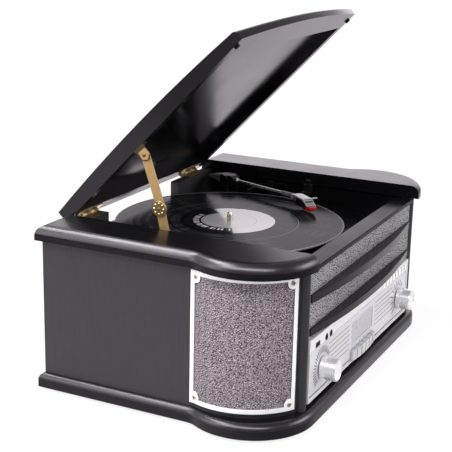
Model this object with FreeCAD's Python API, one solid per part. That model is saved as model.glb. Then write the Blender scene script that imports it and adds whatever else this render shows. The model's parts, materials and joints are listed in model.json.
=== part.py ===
"""Retro record player: a wooden cabinet with turret corners, speakers, a hinged lid and a record deck.

Millimetres. +X is to the right seen from the front, +Y to the back, +Z up.
The origin is on the table, under the middle of the cabinet. The lid rests open on its stay.
"""
import FreeCAD
import Part
import math
import os

V = FreeCAD.Vector

# Record and platter
RECORD_R = 150.5
RECORD_T = 2.0
RECORD_HOLE_R = 3.7
LABEL_R = 60.0
LABEL_T = 0.3
MAT_R = 96.0
MAT_T = 3.0
PLATTER_R = 100.0
PLATTER_H = 12.0
PLATTER_SKIN = 3.0
PLATTER_GAP = 4.0
DRIVE_RING_R = 62.0
DRIVE_RING_WALL = 4.0
SPINDLE_R = 3.55
SPINDLE_RISE = 11.5
SPINDLE_TAIL = 14.0
SPINDLE_COLLAR = 2.0
BUSH_R = 9.0
RUN_CLEARANCE = 0.05

# Tonearm
ARM_PIVOT_DX = 166.0
ARM_BASE_R = 22.0
ARM_BASE_H = 6.0
ARM_SHAFT_R = 4.0
ARM_AXIS_RISE = 32.5
ARM_TUBE_R = 3.2
ARM_TUBE_LENGTH = 131.0
ARM_REST_DEG = 20.0
ARM_STORE_DEG = 20.8
HEAD_OFFSET_DEG = 20.0
HEAD_LENGTH = 52.0
HEAD_WIDTH = 14.0
HEAD_T = 2.4
HEAD_NECK = 12.0
HEAD_RISE = 5.5
HEAD_SLOPE = 14.0
HEAD_DROP = 7.5
FINGER_LENGTH = 9.0
CARTRIDGE_LENGTH = 20.0
CARTRIDGE_WIDTH = 11.0
CARTRIDGE_REACH = 4.0
STYLUS_LENGTH = 2.2
STYLUS_TIP_R = 0.4
BLOCK_WIDTH = 16.0
BLOCK_LENGTH = 26.0
BLOCK_H = 13.0
BLOCK_DROP = 7.2
TAIL_R = 9.0
TAIL_LENGTH = 24.0
TAIL_ROOM = 8.5
GIMBAL_CHEEK = 3.0
GIMBAL_PIN_R = 1.5

# Room round the deck
STAY_ROOM = 16.5
ARM_SIDE_ROOM = 11.0
RECORD_OVERHANG = 10.0
RECORD_FRONT_ROOM = 12.0
WELL_DEPTH = 31.0
DECK_T = 4.0
WELL_WALL_SETBACK = 3.0
CLEAT = 12.0
CLEAT_H = 8.0
NOTCH_ROOM = 14.0
NOTCH_DROP = 3.0

# Cabinet boards
STRIP_WIDTH = 63.0
TURRET_SETBACK = 2.0
TURRET_BULGE = 14.5
BLEND_R = 27.0
CORNER_R = 85.0
CORNER_BULGE = 6.5
FOOT_HEIGHT = 4.0
FOOT_R = 12.0
FOOT_INSET = 42.0
BASE_T = 18.0
TOP_T = 18.0
BASE_ROUND = 8.0
TOP_ROUND = 12.0
BOARD_OVERHANG = 8.0
BACK_OVERHANG = 6.0
WALL = 12.0
BAFFLE_WALL = 10.0
FIT_GAP = 0.3
CUT_OVER = 1.0

# Front, stacked from the base board upwards
PLATE_LIFT = 6.0
PLATE_H = 77.5
PLATE_T = 4.0
PLATE_SIDE_GAP = 0.5
BAR_GAP = 5.0
LOWER_BAR_H = 10.0
MID_CLOTH_H = 30.0
UPPER_BAR_H = 11.0
TOP_CLOTH_H = 25.5
RAIL_T = 6.0
RAIL_DEPTH = 24.0
CLOTH_T = 0.8
BAR_BOW = 13.0
BAR_END_T = 2.0
BAR_END_GAP = 3.0

# Faceplate details
PLATE_RIM = 3.0
PLATE_RECESS = 1.0
SOCKET_STRIP_H = 17.5
RIDGE_W = 1.6
RIB_COUNT = 8
RIB_W = 3.0
RIB_PITCH = 6.4
DISPLAY_HALF_WIDTH = 36.0
DISPLAY_H = 27.0
DISPLAY_LIFT = 25.0
DISPLAY_T = 2.0
KNOB_END_ROOM = 40.5
KNOB_LIFT = 32.0
KNOB_R = 15.0
KNOB_LENGTH = 19.5
KNOB_GAP = 1.0
KNOB_TAPER = 0.8
KNOB_SHAFT_R = 3.0
KNOB_RING_R = 18.0
BUTTON_COUNT = 6
BUTTON_PITCH = 14.0
BUTTON_GAP = 0.6
BUTTON_H = 13.5
BUTTON_LIFT = 3.0
BUTTON_BOW = 3.0
BUTTON_END_RISE = 2.5
BUTTON_TRAVEL = 2.0
BUTTON_STEM = 4.0
USB_END_ROOM = 26.5
USB_W = 12.0
USB_H = 4.6
USB_SHELL = 0.6
JACK_USB_PITCH = 27.0
JACK_PITCH = 14.0
JACK_R = 1.75
JACK_BODY = 8.0
JACK_NOSE = 1.0
SOCKET_DROP = 2.5
CONTROL_DEPTH = 14.0
CONTROL_SIZE = 18.0
CIRCUIT_T = 1.6

# Speakers and grilles
SPEAKER_DEG = 20.0
SPEAKER_R = 45.0
SPEAKER_HOLE_R = 38.0
SPEAKER_SEAT = 58.0
SPEAKER_LIFT = 80.0
SPEAKER_DEPTH = 34.0
SPEAKER_FLANGE = 3.0
SPEAKER_SURROUND = 3.0
MAGNET_R = 26.0
MAGNET_T = 13.0
FRAME_T = 1.4
FRAME_BORDER = 5.2
FRAME_LOW_GAP = 6.0
FRAME_HIGH_GAP = 3.7
FRAME_END_DEG = 62.5
LOBE_R = 7.0
LOBE_INSET = 7.5
CLOTH_TUCK = 2.5
CLOTH_ROOM = 0.1

# Lid, measured from the hinge axis
LID_SIDE_GAP = 5.0
LID_LIFT = 8.0
LID_FRONT_LAP = 6.4
LID_BOW = 11.0
LID_REAR = 3.0
LID_REAR_H = 16.3
LID_CROWN_H = 20.5
LID_CROWN_AT = 140.0
LID_FRONT_H = 12.6
LID_EDGE_ROUND = 5.0
LID_OPEN_DEG = 45.9
TRAY_H = 8.0
SIDE_RIM = 12.0
REAR_RIM = 18.0
FRONT_RIM = 27.0
BUMPER_LENGTH = 7.0
BUMPER_W = 5.0
BUMPER_INSET = 3.0

# Lid hinges
HINGE_END_ROOM = 43.0
HINGE_LENGTH = 46.0
HINGE_KNUCKLES = 5
KNUCKLE_R = 2.6
HINGE_PIN_R = 1.3
LEAF_T = 1.2
LEAF_W = 13.0
LEAF_GAP = 0.4
KNUCKLE_GAP = 0.3
KNUCKLE_ROOM = 0.5

# Lid stay
STAY_BEND = 3.5
STAY_WIDTH = 12.0
STAY_T = 1.8
STAY_LID_ALONG = 145.7
STAY_LID_DROP = 11.5
STAY_WALL_ALONG = 145.6
STAY_WALL_DROP = 22.5
STAY_PIN_R = 2.0
STAY_DISC_R = 9.5
STAY_DISC_T = 2.2
STAY_DIMPLES = 8
STAY_DIMPLE_R = 1.4
STAY_DIMPLE_RING = 6.4
STAY_LAYER_GAP = 0.3
STAY_LUG_R = 7.5
STAY_PLATE_LENGTH = 18.0
STAY_PLATE_W = 9.0
STAY_PLATE_T = 1.4
STAY_SLOT_FRONT = 36.0
STAY_SLOT_BACK = 12.0
STAY_SLOT_ROOM = 0.7

# Deck fittings
CUE_REACH = 45.0
CUE_CRANK = 12.0
CUE_ROD_R = 1.5
CUE_ROD_LENGTH = 46.0
CUE_GAP = 0.6
CUE_POST_W = 8.0
CUE_HANDLE = 24.0
REST_REACH = 122.0
REST_POST_R = 4.0
REST_LIP = 4.0
REST_WIDTH = 12.0
CLIP_LENGTH = 8.0
CLIP_T = 1.5
CLIP_PIN_R = 1.0
SWITCH_SLOT_W = 5.0
SWITCH_TRAVEL = 12.0
SWITCH_KNOB_H = 6.0

# Drive
MOTOR_R = 16.0
MOTOR_H = 24.0
MOTOR_SHAFT_R = 1.2
PULLEY_R = 6.0
PULLEY_FLANGE = 1.0
PULLEY_REACH = 80.0
BELT_T = 0.8
BELT_H = 4.0
BELT_GAP = 0.3

# Back and inside
RCA_SIDE_ROOM = 6.0
RCA_PITCH = 16.0
RCA_LIFT = 53.0
RCA_R = 4.2
RCA_BORE_R = 1.6
RCA_LENGTH = 8.0
RCA_PLATE_T = 2.0
RCA_PLATE_MARGIN = 1.5
INLET_SIDE_ROOM = 76.0
INLET_W = 27.0
INLET_H = 20.0
INLET_DEPTH = 16.0
INLET_WALL = 2.0
VENT_COUNT = 9
VENT_PITCH = 9.0
VENT_W = 4.0
VENT_H = 40.0
VENT_LIFT = 60.0
TRANSFORMER_W = 56.0
TRANSFORMER_D = 40.0
TRANSFORMER_H = 46.0
COIL_W = 39.0
COIL_H = 27.6
AMP_W = 130.0
AMP_D = 90.0
AMP_LIFT = 8.0
STANDOFF_R = 4.0
HEATSINK_H = 30.0
FIN_COUNT = 6
FIN_T = 3.2
FIN_PITCH = 9.6

# Derived: the room that the record and the arm need sets the well, and the well sets the cabinet
WELL_HALF_WIDTH = (STAY_ROOM + RECORD_R + ARM_PIVOT_DX + ARM_BASE_R + ARM_SIDE_ROOM) / 2
WELL_WALL_X = WELL_HALF_WIDTH + WELL_WALL_SETBACK
DISC_DEPTH = RECORD_FRONT_ROOM + 2 * RECORD_R - RECORD_OVERHANG
BOARD_DEPTH = BOARD_OVERHANG + RAIL_DEPTH + DISC_DEPTH + BACK_OVERHANG
BOARD_HALF_WIDTH = WELL_HALF_WIDTH + STRIP_WIDTH
BOARD_FRONT = -BOARD_DEPTH / 2
BOARD_BACK = BOARD_DEPTH / 2
FRONT_FACE = BOARD_FRONT + BOARD_OVERHANG
PANEL_FACE = FRONT_FACE + PLATE_T
PANEL_BACK = PANEL_FACE + WALL
RAIL_BACK = FRONT_FACE + RAIL_DEPTH
BACK_FACE = BOARD_BACK - BACK_OVERHANG
BACK_INSIDE = BACK_FACE - WALL
TURRET_X = WELL_HALF_WIDTH - TURRET_SETBACK
TURRET_R = STRIP_WIDTH + TURRET_SETBACK + TURRET_BULGE
TURRET_Y = BOARD_FRONT + TURRET_R
BLEND_X = BOARD_HALF_WIDTH + BLEND_R
BLEND_DEG = math.degrees(math.acos((BLEND_X - TURRET_X) / (TURRET_R + BLEND_R)))
BLEND_Y = TURRET_Y + (TURRET_R + BLEND_R) * math.sin(math.radians(BLEND_DEG))
SIDE_FACE = BOARD_HALF_WIDTH - BOARD_OVERHANG
SIDE_INSIDE = SIDE_FACE - WALL
CORNER_X = SIDE_FACE + CORNER_BULGE - CORNER_R
CORNER_Y = PANEL_FACE + math.sqrt(CORNER_R ** 2 - (TURRET_X - CORNER_X) ** 2)
HOLLOW_X = SIDE_FACE + BLEND_R
HOLLOW_DEG = math.degrees(math.acos((HOLLOW_X - CORNER_X) / (CORNER_R + BLEND_R)))
HOLLOW_Y = CORNER_Y + (CORNER_R + BLEND_R) * math.sin(math.radians(HOLLOW_DEG))
RCA_X = RCA_SIDE_ROOM - SIDE_INSIDE
INLET_X = SIDE_INSIDE - INLET_SIDE_ROOM

# Derived heights
BASE_TOP = FOOT_HEIGHT + BASE_T
PLATE_Z0 = BASE_TOP + PLATE_LIFT
PLATE_Z1 = PLATE_Z0 + PLATE_H
LOWER_BAR_Z = PLATE_Z1 + BAR_GAP
UPPER_BAR_Z = LOWER_BAR_Z + LOWER_BAR_H + MID_CLOTH_H
RAIL_Z = UPPER_BAR_Z + UPPER_BAR_H + TOP_CLOTH_H
WALL_TOP = RAIL_Z + RAIL_T
TOP_Z = WALL_TOP + TOP_T
DECK_TOP = WALL_TOP - WELL_DEPTH
PLATTER_Z = DECK_TOP + PLATTER_GAP
PLATTER_TOP = PLATTER_Z + PLATTER_H
RECORD_Z = PLATTER_TOP + MAT_T
RECORD_TOP = RECORD_Z + RECORD_T
LID_UNDER = WALL_TOP + LID_LIFT
HINGE_Z = LID_UNDER - LEAF_T - LEAF_GAP / 2
HINGE_SEAT = LID_UNDER - 2 * LEAF_T - LEAF_GAP

# Derived places on the deck
PLATTER_X = STAY_ROOM + RECORD_R - WELL_HALF_WIDTH
PLATTER_Y = BACK_FACE + RECORD_OVERHANG - RECORD_R
ARM_X = PLATTER_X + ARM_PIVOT_DX
ARM_Y = BACK_INSIDE - TAIL_ROOM - TAIL_LENGTH - BLOCK_LENGTH / 2
ARM_Z = DECK_TOP + ARM_AXIS_RISE
TUBE_BOTTOM = ARM_Z - ARM_TUBE_R
HINGE_Y = BACK_FACE + KNUCKLE_R + KNUCKLE_ROOM
LID_REACH = HINGE_Y - FRONT_FACE + LID_FRONT_LAP
LID_HALF_WIDTH = WELL_HALF_WIDTH - LID_SIDE_GAP
HINGE_X = LID_HALF_WIDTH - HINGE_END_ROOM
STAY_WALL_Y = HINGE_Y - STAY_WALL_ALONG
MOTOR_X = PLATTER_X
MOTOR_Y = PLATTER_Y + PULLEY_REACH

# Derived places on the faceplate
PLATE_HALF_WIDTH = TURRET_X - PLATE_SIDE_GAP
KNOB_X = PLATE_HALF_WIDTH - KNOB_END_ROOM
USB_X = USB_END_ROOM - PLATE_HALF_WIDTH
JACK_X = USB_X + JACK_USB_PITCH
FIELD_FACE = FRONT_FACE + PLATE_RECESS
STRIP_Z = PLATE_Z1 - SOCKET_STRIP_H
SOCKET_Z = (STRIP_Z + RIDGE_W + PLATE_Z1 - PLATE_RIM) / 2 - SOCKET_DROP
KNOB_Z = PLATE_Z0 + KNOB_LIFT
DISPLAY_Z = PLATE_Z0 + DISPLAY_LIFT
BUTTON_Z = PLATE_Z0 + BUTTON_LIFT
CIRCUIT_Y = PANEL_FACE + CONTROL_DEPTH
JACK_DEPTH = CIRCUIT_Y - JACK_NOSE - FIELD_FACE

# Derived layers of the stay, from the well's left wall inwards
STAY_DISC_X = -LID_HALF_WIDTH - STAY_DISC_T
STAY_LOWER_X = -LID_HALF_WIDTH + STAY_LAYER_GAP
STAY_UPPER_X = STAY_LOWER_X + STAY_T + STAY_LAYER_GAP

X_AXIS = V(1, 0, 0)
Y_AXIS = V(0, 1, 0)
Z_AXIS = V(0, 0, 1)


def span_box(x, y, z):
    """Box between a low and a high value on each axis."""
    return Part.makeBox(x[1] - x[0], y[1] - y[0], z[1] - z[0], V(x[0], y[0], z[0]))


def rod(start, direction, radius, length):
    """Round rod from a point along a direction."""
    return Part.makeCylinder(radius, length, start, direction)


def ring(start, direction, outer, inner, length):
    """Round rod with a hole through it."""
    return rod(start, direction, outer, length).cut(rod(start, direction, inner, length))


def mirrored(shape):
    """Copy of a shape on the other side of the cabinet's middle plane."""
    return shape.mirror(V(0, 0, 0), X_AXIS)


def pair(shape):
    """A right-hand shape and its left-hand copy, as two solids."""
    return Part.makeCompound([shape, mirrored(shape)])


def polar(centre, radius, angle, z):
    """Point on a circle in plan."""
    turn = math.radians(angle)
    return V(centre[0] + radius * math.cos(turn), centre[1] + radius * math.sin(turn), z)


def arc_edge(centre, radius, start, end, z):
    """Arc in plan between two angles in degrees."""
    middle = (start + end) / 2
    points = [polar(centre, radius, angle, z) for angle in (start, middle, end)]
    return Part.Arc(*points).toShape()


def line_edge(start, end):
    """Straight edge."""
    return Part.LineSegment(start, end).toShape()


def closed_face(edges):
    """Flat face inside a ring of edges."""
    return Part.Face(Part.Wire(Part.__sortEdges__(edges)))


def polygon_prism(points, sweep):
    """Prism over a polygon, swept along a vector."""
    return Part.Face(Part.makePolygon(points + points[:1])).extrude(sweep)


def revolved(profile, centre, axis=Z_AXIS):
    """Body turned from a closed profile of radius and height pairs, then stood on an axis at a centre."""
    points = [V(radius, 0, height) for radius, height in profile]
    body = Part.Face(Part.makePolygon(points + points[:1])).revolve(V(0, 0, 0), Z_AXIS, 360)
    body.Placement = FreeCAD.Placement(centre, FreeCAD.Rotation(Z_AXIS, axis))
    return body


def edges_at_height(shape, z):
    """Edges of a shape that lie flat at one height."""
    near = 1e-4
    return [e for e in shape.Edges if abs(e.BoundBox.ZMin - z) < near and abs(e.BoundBox.ZMax - z) < near]


def hollow_centre():
    return (HOLLOW_X, HOLLOW_Y)


def corner_centre():
    return (CORNER_X, CORNER_Y)


def side_edges(z):
    """Right-hand outline of a board from back to front: flat side, hollow blend, round turret."""
    return [
        line_edge(V(BOARD_HALF_WIDTH, BOARD_BACK, z), V(BOARD_HALF_WIDTH, BLEND_Y, z)),
        arc_edge((BLEND_X, BLEND_Y), BLEND_R, 180, 180 + BLEND_DEG, z),
        arc_edge((TURRET_X, TURRET_Y), TURRET_R, BLEND_DEG, -90, z),
    ]


def board(z, thickness, rounding):
    """Whole board with turret corners and a rounded top edge."""
    right = side_edges(z)
    left = [mirrored(edge) for edge in right]
    front = line_edge(V(TURRET_X, BOARD_FRONT, z), V(-TURRET_X, BOARD_FRONT, z))
    back = line_edge(V(BOARD_HALF_WIDTH, BOARD_BACK, z), V(-BOARD_HALF_WIDTH, BOARD_BACK, z))
    plate = closed_face(right + left + [front, back]).extrude(V(0, 0, thickness))
    return plate.makeFillet(rounding, edges_at_height(plate, z + thickness))


def corner_band(outer, inner, start_deg, end_deg, z):
    """Right-hand band that follows the corner wall, between two depths behind the wall's face."""
    low, high = z
    edges = []
    for depth in (outer, inner):
        edges.append(arc_edge(hollow_centre(), BLEND_R + depth, 180 + start_deg, 180 + HOLLOW_DEG, low))
        edges.append(arc_edge(corner_centre(), CORNER_R - depth, HOLLOW_DEG, -end_deg, low))
    start = [polar(hollow_centre(), BLEND_R + depth, 180 + start_deg, low) for depth in (outer, inner)]
    end = [polar(corner_centre(), CORNER_R - depth, -end_deg, low) for depth in (outer, inner)]
    edges += [line_edge(*start), line_edge(*end)]
    return closed_face(edges).extrude(V(0, 0, high - low))


# Cabinet

def base_board():
    return board(FOOT_HEIGHT, BASE_T, BASE_ROUND)


def rubber_feet():
    feet = []
    for x in (-1, 1):
        for y in (BOARD_FRONT + FOOT_INSET, BOARD_BACK - FOOT_INSET):
            start = V(x * (BOARD_HALF_WIDTH - FOOT_INSET), y, 0)
            feet.append(Part.makeCone(FOOT_R - FOOT_HEIGHT / 2, FOOT_R, FOOT_HEIGHT, start, Z_AXIS))
    return Part.makeCompound(feet)


def top_boards():
    """The two strips beside the well, cut from one board so that they match the base."""
    plate = board(WALL_TOP, TOP_T, TOP_ROUND)
    reach = BOARD_HALF_WIDTH + TURRET_BULGE
    keep = span_box((WELL_HALF_WIDTH, reach), (BOARD_FRONT, BOARD_BACK), (WALL_TOP, TOP_Z))
    return pair(plate.common(keep))


def side_panels():
    return pair(span_box((SIDE_INSIDE, SIDE_FACE), (HOLLOW_Y, BACK_FACE), (BASE_TOP, WALL_TOP)))


def speaker_axis():
    turn = math.radians(-SPEAKER_DEG)
    return V(math.cos(turn), math.sin(turn), 0)


def speaker_centre(reach):
    """Point on the right-hand speaker's axis, a reach out from the corner wall's middle."""
    return V(CORNER_X, CORNER_Y, BASE_TOP + SPEAKER_LIFT) + speaker_axis() * reach


def speaker_baffles():
    """Curved corner wall with a flat seat inside for the speaker and a round sound hole."""
    height = (BASE_TOP, WALL_TOP)
    wall = corner_band(0, BAFFLE_WALL, 0, 90, height)
    boss = rod(speaker_centre(SPEAKER_SEAT), speaker_axis(), SPEAKER_R, CORNER_R)
    limit = rod(V(CORNER_X, CORNER_Y, BASE_TOP), Z_AXIS, CORNER_R - BAFFLE_WALL / 2, WALL_TOP - BASE_TOP)
    hole = rod(speaker_centre(SPEAKER_SEAT), speaker_axis(), SPEAKER_HOLE_R, CORNER_R)
    front = span_box((0, TURRET_X), (BOARD_FRONT, CORNER_Y), height)
    return pair(wall.fuse(boss.common(limit)).cut([hole, front]).removeSplitter())


def speakers():
    """Paper cone, basket and magnet, turned about the speaker's axis and seated on the baffle."""
    cone_r = SPEAKER_HOLE_R - SPEAKER_SURROUND
    basket_z = -SPEAKER_FLANGE - SPEAKER_SURROUND
    neck_r = MAGNET_R / 2
    neck_z = -SPEAKER_DEPTH / 2
    profile = [
        (SPEAKER_R, 0), (SPEAKER_R, -SPEAKER_FLANGE), (cone_r, basket_z),
        (MAGNET_R, MAGNET_T - SPEAKER_DEPTH),
        (MAGNET_R, -SPEAKER_DEPTH), (0, -SPEAKER_DEPTH), (0, neck_z), (neck_r, neck_z), (cone_r, 0),
    ]
    return pair(revolved(profile, speaker_centre(SPEAKER_SEAT), speaker_axis()))


def frame_span():
    return (BASE_TOP + FRAME_LOW_GAP, WALL_TOP - FRAME_HIGH_GAP)


def border_degrees(length):
    """Angles that a length along the corner wall makes on its hollow and on its round part."""
    return math.degrees(length / BLEND_R), math.degrees(length / CORNER_R)


def grille_lobes():
    """Round tabs at the frame's corners, each on the wall's own normal there."""
    low, high = frame_span()
    on_hollow, on_round = border_degrees(LOBE_INSET)
    reach = 2 * BOARD_OVERHANG
    lobes = []
    for z in (low + LOBE_INSET, high - LOBE_INSET):
        for centre, radius, angle in (
            (hollow_centre(), BLEND_R, 180 + on_hollow),
            (corner_centre(), CORNER_R, on_round - FRAME_END_DEG),
        ):
            start = polar(centre, radius - BOARD_OVERHANG, angle, z)
            lobes.append(rod(start, polar((0, 0), 1, angle, 0), LOBE_R, reach))
    return lobes


def grille_frames():
    """Thin bright frame bent round the corner, with a screw tab in each corner of its window."""
    low, high = frame_span()
    outer = -CLOTH_T - FRAME_T
    inner = -CLOTH_T
    sheet = corner_band(outer, inner, 0, FRAME_END_DEG, (low, high))
    on_hollow, on_round = border_degrees(FRAME_BORDER)
    window_z = (low + FRAME_BORDER, high - FRAME_BORDER)
    window_end = FRAME_END_DEG - on_round
    window = corner_band(outer - CUT_OVER, inner + CUT_OVER, on_hollow, window_end, window_z)
    return pair(sheet.cut(window.cut(grille_lobes())))


def grille_cloths():
    low, high = frame_span()
    on_hollow, on_round = border_degrees(CLOTH_TUCK)
    span = (low + CLOTH_TUCK, high - CLOTH_TUCK)
    return pair(corner_band(CLOTH_ROOM - CLOTH_T, -CLOTH_ROOM, on_hollow, FRAME_END_DEG - on_round, span))


def stay_slot(z):
    """Room beside the left wall that the foot of the folding stay dips into."""
    x = (STAY_LOWER_X - STAY_SLOT_ROOM, STAY_LOWER_X + STAY_T + STAY_SLOT_ROOM)
    return span_box(x, (STAY_WALL_Y - STAY_SLOT_FRONT, STAY_WALL_Y + STAY_SLOT_BACK), z)


def well_walls():
    """Side walls of the well, scribed to the corner walls, each with a cleat that carries the deck."""
    deck_under = DECK_TOP - DECK_T
    depth = (PANEL_BACK, BACK_INSIDE)
    wall = span_box((WELL_WALL_X, WELL_WALL_X + WALL), depth, (deck_under - CLEAT_H, WALL_TOP))
    cleat = span_box((WELL_WALL_X - CLEAT, WELL_WALL_X), depth, (deck_under - CLEAT_H, deck_under))
    scribe = corner_band(0, BAFFLE_WALL + FIT_GAP, 0, 90, (deck_under - CLEAT_H, WALL_TOP))
    right = wall.fuse(cleat).cut(scribe).removeSplitter()
    left = mirrored(right).cut(stay_slot((deck_under - CLEAT_H, deck_under)))
    return Part.makeCompound([right, left])


def record_half_chord(y):
    """Half the record's width where a line across it passes at y."""
    return math.sqrt(RECORD_R ** 2 - (y - PLATTER_Y) ** 2)


def back_panel():
    """Back board with hinge seats, a notch that the record reaches into, vents and socket holes."""
    panel = span_box((-SIDE_INSIDE, SIDE_INSIDE), (BACK_INSIDE, BACK_FACE), (BASE_TOP, WALL_TOP))
    seat_x = WELL_HALF_WIDTH - FIT_GAP
    panel = panel.fuse(span_box((-seat_x, seat_x), (BACK_INSIDE, BACK_FACE), (WALL_TOP, HINGE_SEAT)))
    half = record_half_chord(BACK_INSIDE) + NOTCH_ROOM
    thick = (BACK_INSIDE, BACK_FACE)
    notch = span_box((PLATTER_X - half, PLATTER_X + half), thick, (RECORD_Z - NOTCH_DROP, TOP_Z))
    cuts = [notch, inlet_outline(INLET_WALL)]
    for index in range(VENT_COUNT):
        x = (index - (VENT_COUNT - 1) / 2) * VENT_PITCH
        low = BASE_TOP + VENT_LIFT
        cuts.append(span_box((x - VENT_W / 2, x + VENT_W / 2), thick, (low, low + VENT_H)))
    for x in rca_places():
        cuts.append(rod(V(x, BACK_INSIDE, BASE_TOP + RCA_LIFT), Y_AXIS, RCA_R, WALL))
    return panel.cut(cuts).removeSplitter()


# Front

def front_rail():
    return span_box((-TURRET_X, TURRET_X), (FRONT_FACE, RAIL_BACK), (RAIL_Z, WALL_TOP))


def front_panel():
    """Board behind the cloth, and a sill under the open space where the controls sit."""
    x = (-TURRET_X, TURRET_X)
    y = (PANEL_FACE, PANEL_BACK)
    upper = span_box(x, y, (PLATE_Z1 - PLATE_RIM, RAIL_Z))
    sill = span_box(x, y, (BASE_TOP, PLATE_Z0))
    return Part.makeCompound([upper, sill])


def front_cloth():
    return span_box((-TURRET_X, TURRET_X), (PANEL_FACE - CLOTH_T, PANEL_FACE), (PLATE_Z1, RAIL_Z))


def bowed_block(half_width, back_y, end_y, bow, z):
    """Block whose front bows forward in plan between two ends."""
    low, high = z
    middle = V(0, end_y - bow, low)
    front = Part.Arc(V(-half_width, end_y, low), middle, V(half_width, end_y, low)).toShape()
    right = line_edge(V(half_width, end_y, low), V(half_width, back_y, low))
    back = line_edge(V(half_width, back_y, low), V(-half_width, back_y, low))
    left = line_edge(V(-half_width, back_y, low), V(-half_width, end_y, low))
    return closed_face([front, right, back, left]).extrude(V(0, 0, high - low))


def trim_bars():
    """Two bowed bars across the cloth."""
    seat = PANEL_FACE - CLOTH_T
    half = TURRET_X - BAR_END_GAP
    bars = []
    for low, height in ((LOWER_BAR_Z, LOWER_BAR_H), (UPPER_BAR_Z, UPPER_BAR_H)):
        bars.append(bowed_block(half, seat, seat - BAR_END_T, BAR_BOW, (low, low + height)))
    return Part.makeCompound(bars)


def button_row(gap):
    """Half-width and height span of the opening that the buttons share."""
    half = BUTTON_COUNT * BUTTON_PITCH / 2 + gap
    return half, (BUTTON_Z - gap, BUTTON_Z + BUTTON_H + gap)


def faceplate():
    """Silver control plate with a raised rim, a socket strip, ribs and rings round the knobs."""
    half = PLATE_HALF_WIDTH
    plate = span_box((-half, half), (FRONT_FACE, PANEL_FACE), (PLATE_Z0, PLATE_Z1))
    inner = half - PLATE_RIM
    sunk = (FRONT_FACE, FIELD_FACE)
    field = span_box((-inner, inner), sunk, (PLATE_Z0 + PLATE_RIM, STRIP_Z))
    strip = span_box((-inner, inner), sunk, (STRIP_Z + RIDGE_W, PLATE_Z1 - PLATE_RIM))
    plate = plate.cut([field, strip])
    raised = []
    for index in range(RIB_COUNT):
        x = inner - RIB_PITCH * (index + 1)
        ends = (STRIP_Z + RIDGE_W + PLATE_RIM, PLATE_Z1 - 2 * PLATE_RIM)
        raised.append(span_box((x, x + RIB_W), sunk, ends))
    for x in (-KNOB_X, KNOB_X):
        raised.append(rod(V(x, FRONT_FACE, KNOB_Z), Y_AXIS, KNOB_RING_R, PLATE_RECESS))
    row_half, row_z = button_row(BUTTON_GAP)
    through = (FRONT_FACE, PANEL_FACE)
    display = (DISPLAY_Z - FIT_GAP, DISPLAY_Z + DISPLAY_H + FIT_GAP)
    screen_half = DISPLAY_HALF_WIDTH + FIT_GAP
    cuts = [
        span_box((-row_half, row_half), through, row_z),
        span_box((-screen_half, screen_half), through, display),
        usb_outline(USB_SHELL + FIT_GAP, through),
    ]
    for x in (-KNOB_X, KNOB_X):
        cuts.append(rod(V(x, FRONT_FACE, KNOB_Z), Y_AXIS, KNOB_SHAFT_R + FIT_GAP, PLATE_T))
    for x in jack_places():
        cuts.append(rod(V(x, FRONT_FACE, SOCKET_Z), Y_AXIS, JACK_R + JACK_NOSE + FIT_GAP, PLATE_T))
    return plate.fuse(raised).cut(cuts).removeSplitter()


def display_window():
    half = DISPLAY_HALF_WIDTH
    depth = (FIELD_FACE, FIELD_FACE + DISPLAY_T)
    return span_box((-half, half), depth, (DISPLAY_Z, DISPLAY_Z + DISPLAY_H))


def usb_outline(margin, depth):
    """Block of the slot's size and a margin, between two depths."""
    half = USB_W / 2 + margin
    rise = USB_H / 2 + margin
    return span_box((USB_X - half, USB_X + half), depth, (SOCKET_Z - rise, SOCKET_Z + rise))


def usb_socket():
    """Metal shell of the slot, closed at its inner end by the circuit board."""
    shell = usb_outline(USB_SHELL, (FIELD_FACE, CIRCUIT_Y))
    return shell.cut(usb_outline(0, (FIELD_FACE, CIRCUIT_Y - USB_SHELL)))


def jack_places():
    return (JACK_X, JACK_X + JACK_PITCH)


def audio_jacks():
    """Jacks on the circuit board, each with a round nose through the faceplate."""
    half = JACK_BODY / 2
    height = (SOCKET_Z - half, SOCKET_Z + half)
    jacks = []
    for x in jack_places():
        body = span_box((x - half, x + half), (PANEL_FACE, CIRCUIT_Y), height)
        mouth = V(x, FIELD_FACE, SOCKET_Z)
        nose = rod(mouth, Y_AXIS, JACK_R + JACK_NOSE, PANEL_FACE - FIELD_FACE)
        jacks.append(body.fuse(nose).cut(rod(mouth, Y_AXIS, JACK_R, JACK_DEPTH)).removeSplitter())
    return Part.makeCompound(jacks)


def control_board():
    """Circuit board behind the faceplate, with the two rotary controls that the knob shafts turn in."""
    half = KNOB_X + CONTROL_SIZE
    sheet = span_box((-half, half), (CIRCUIT_Y, CIRCUIT_Y + CIRCUIT_T), (PLATE_Z0, PLATE_Z1))
    size = CONTROL_SIZE / 2
    depth = (PANEL_FACE, CIRCUIT_Y)
    controls = []
    bores = []
    for x in (-KNOB_X, KNOB_X):
        controls.append(span_box((x - size, x + size), depth, (KNOB_Z - size, KNOB_Z + size)))
        bores.append(rod(V(x, PANEL_FACE, KNOB_Z), Y_AXIS, KNOB_SHAFT_R + RUN_CLEARANCE, CONTROL_DEPTH))
    return sheet.fuse(controls).cut(bores).removeSplitter()


def knob(x):
    """Turned knob with a softened front edge and its shaft."""
    back = FRONT_FACE - KNOB_GAP
    edge = KNOB_TAPER * 2
    front_r = KNOB_R - KNOB_TAPER
    shaft_end = back - CIRCUIT_Y + FIT_GAP
    profile = [
        (0, KNOB_LENGTH), (front_r - edge, KNOB_LENGTH), (front_r, KNOB_LENGTH - edge), (KNOB_R, KNOB_TAPER),
        (KNOB_R - KNOB_TAPER, 0), (KNOB_SHAFT_R, 0), (KNOB_SHAFT_R, shaft_end), (0, shaft_end),
    ]
    return revolved(profile, V(x, back, KNOB_Z), V(0, -1, 0))


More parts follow.
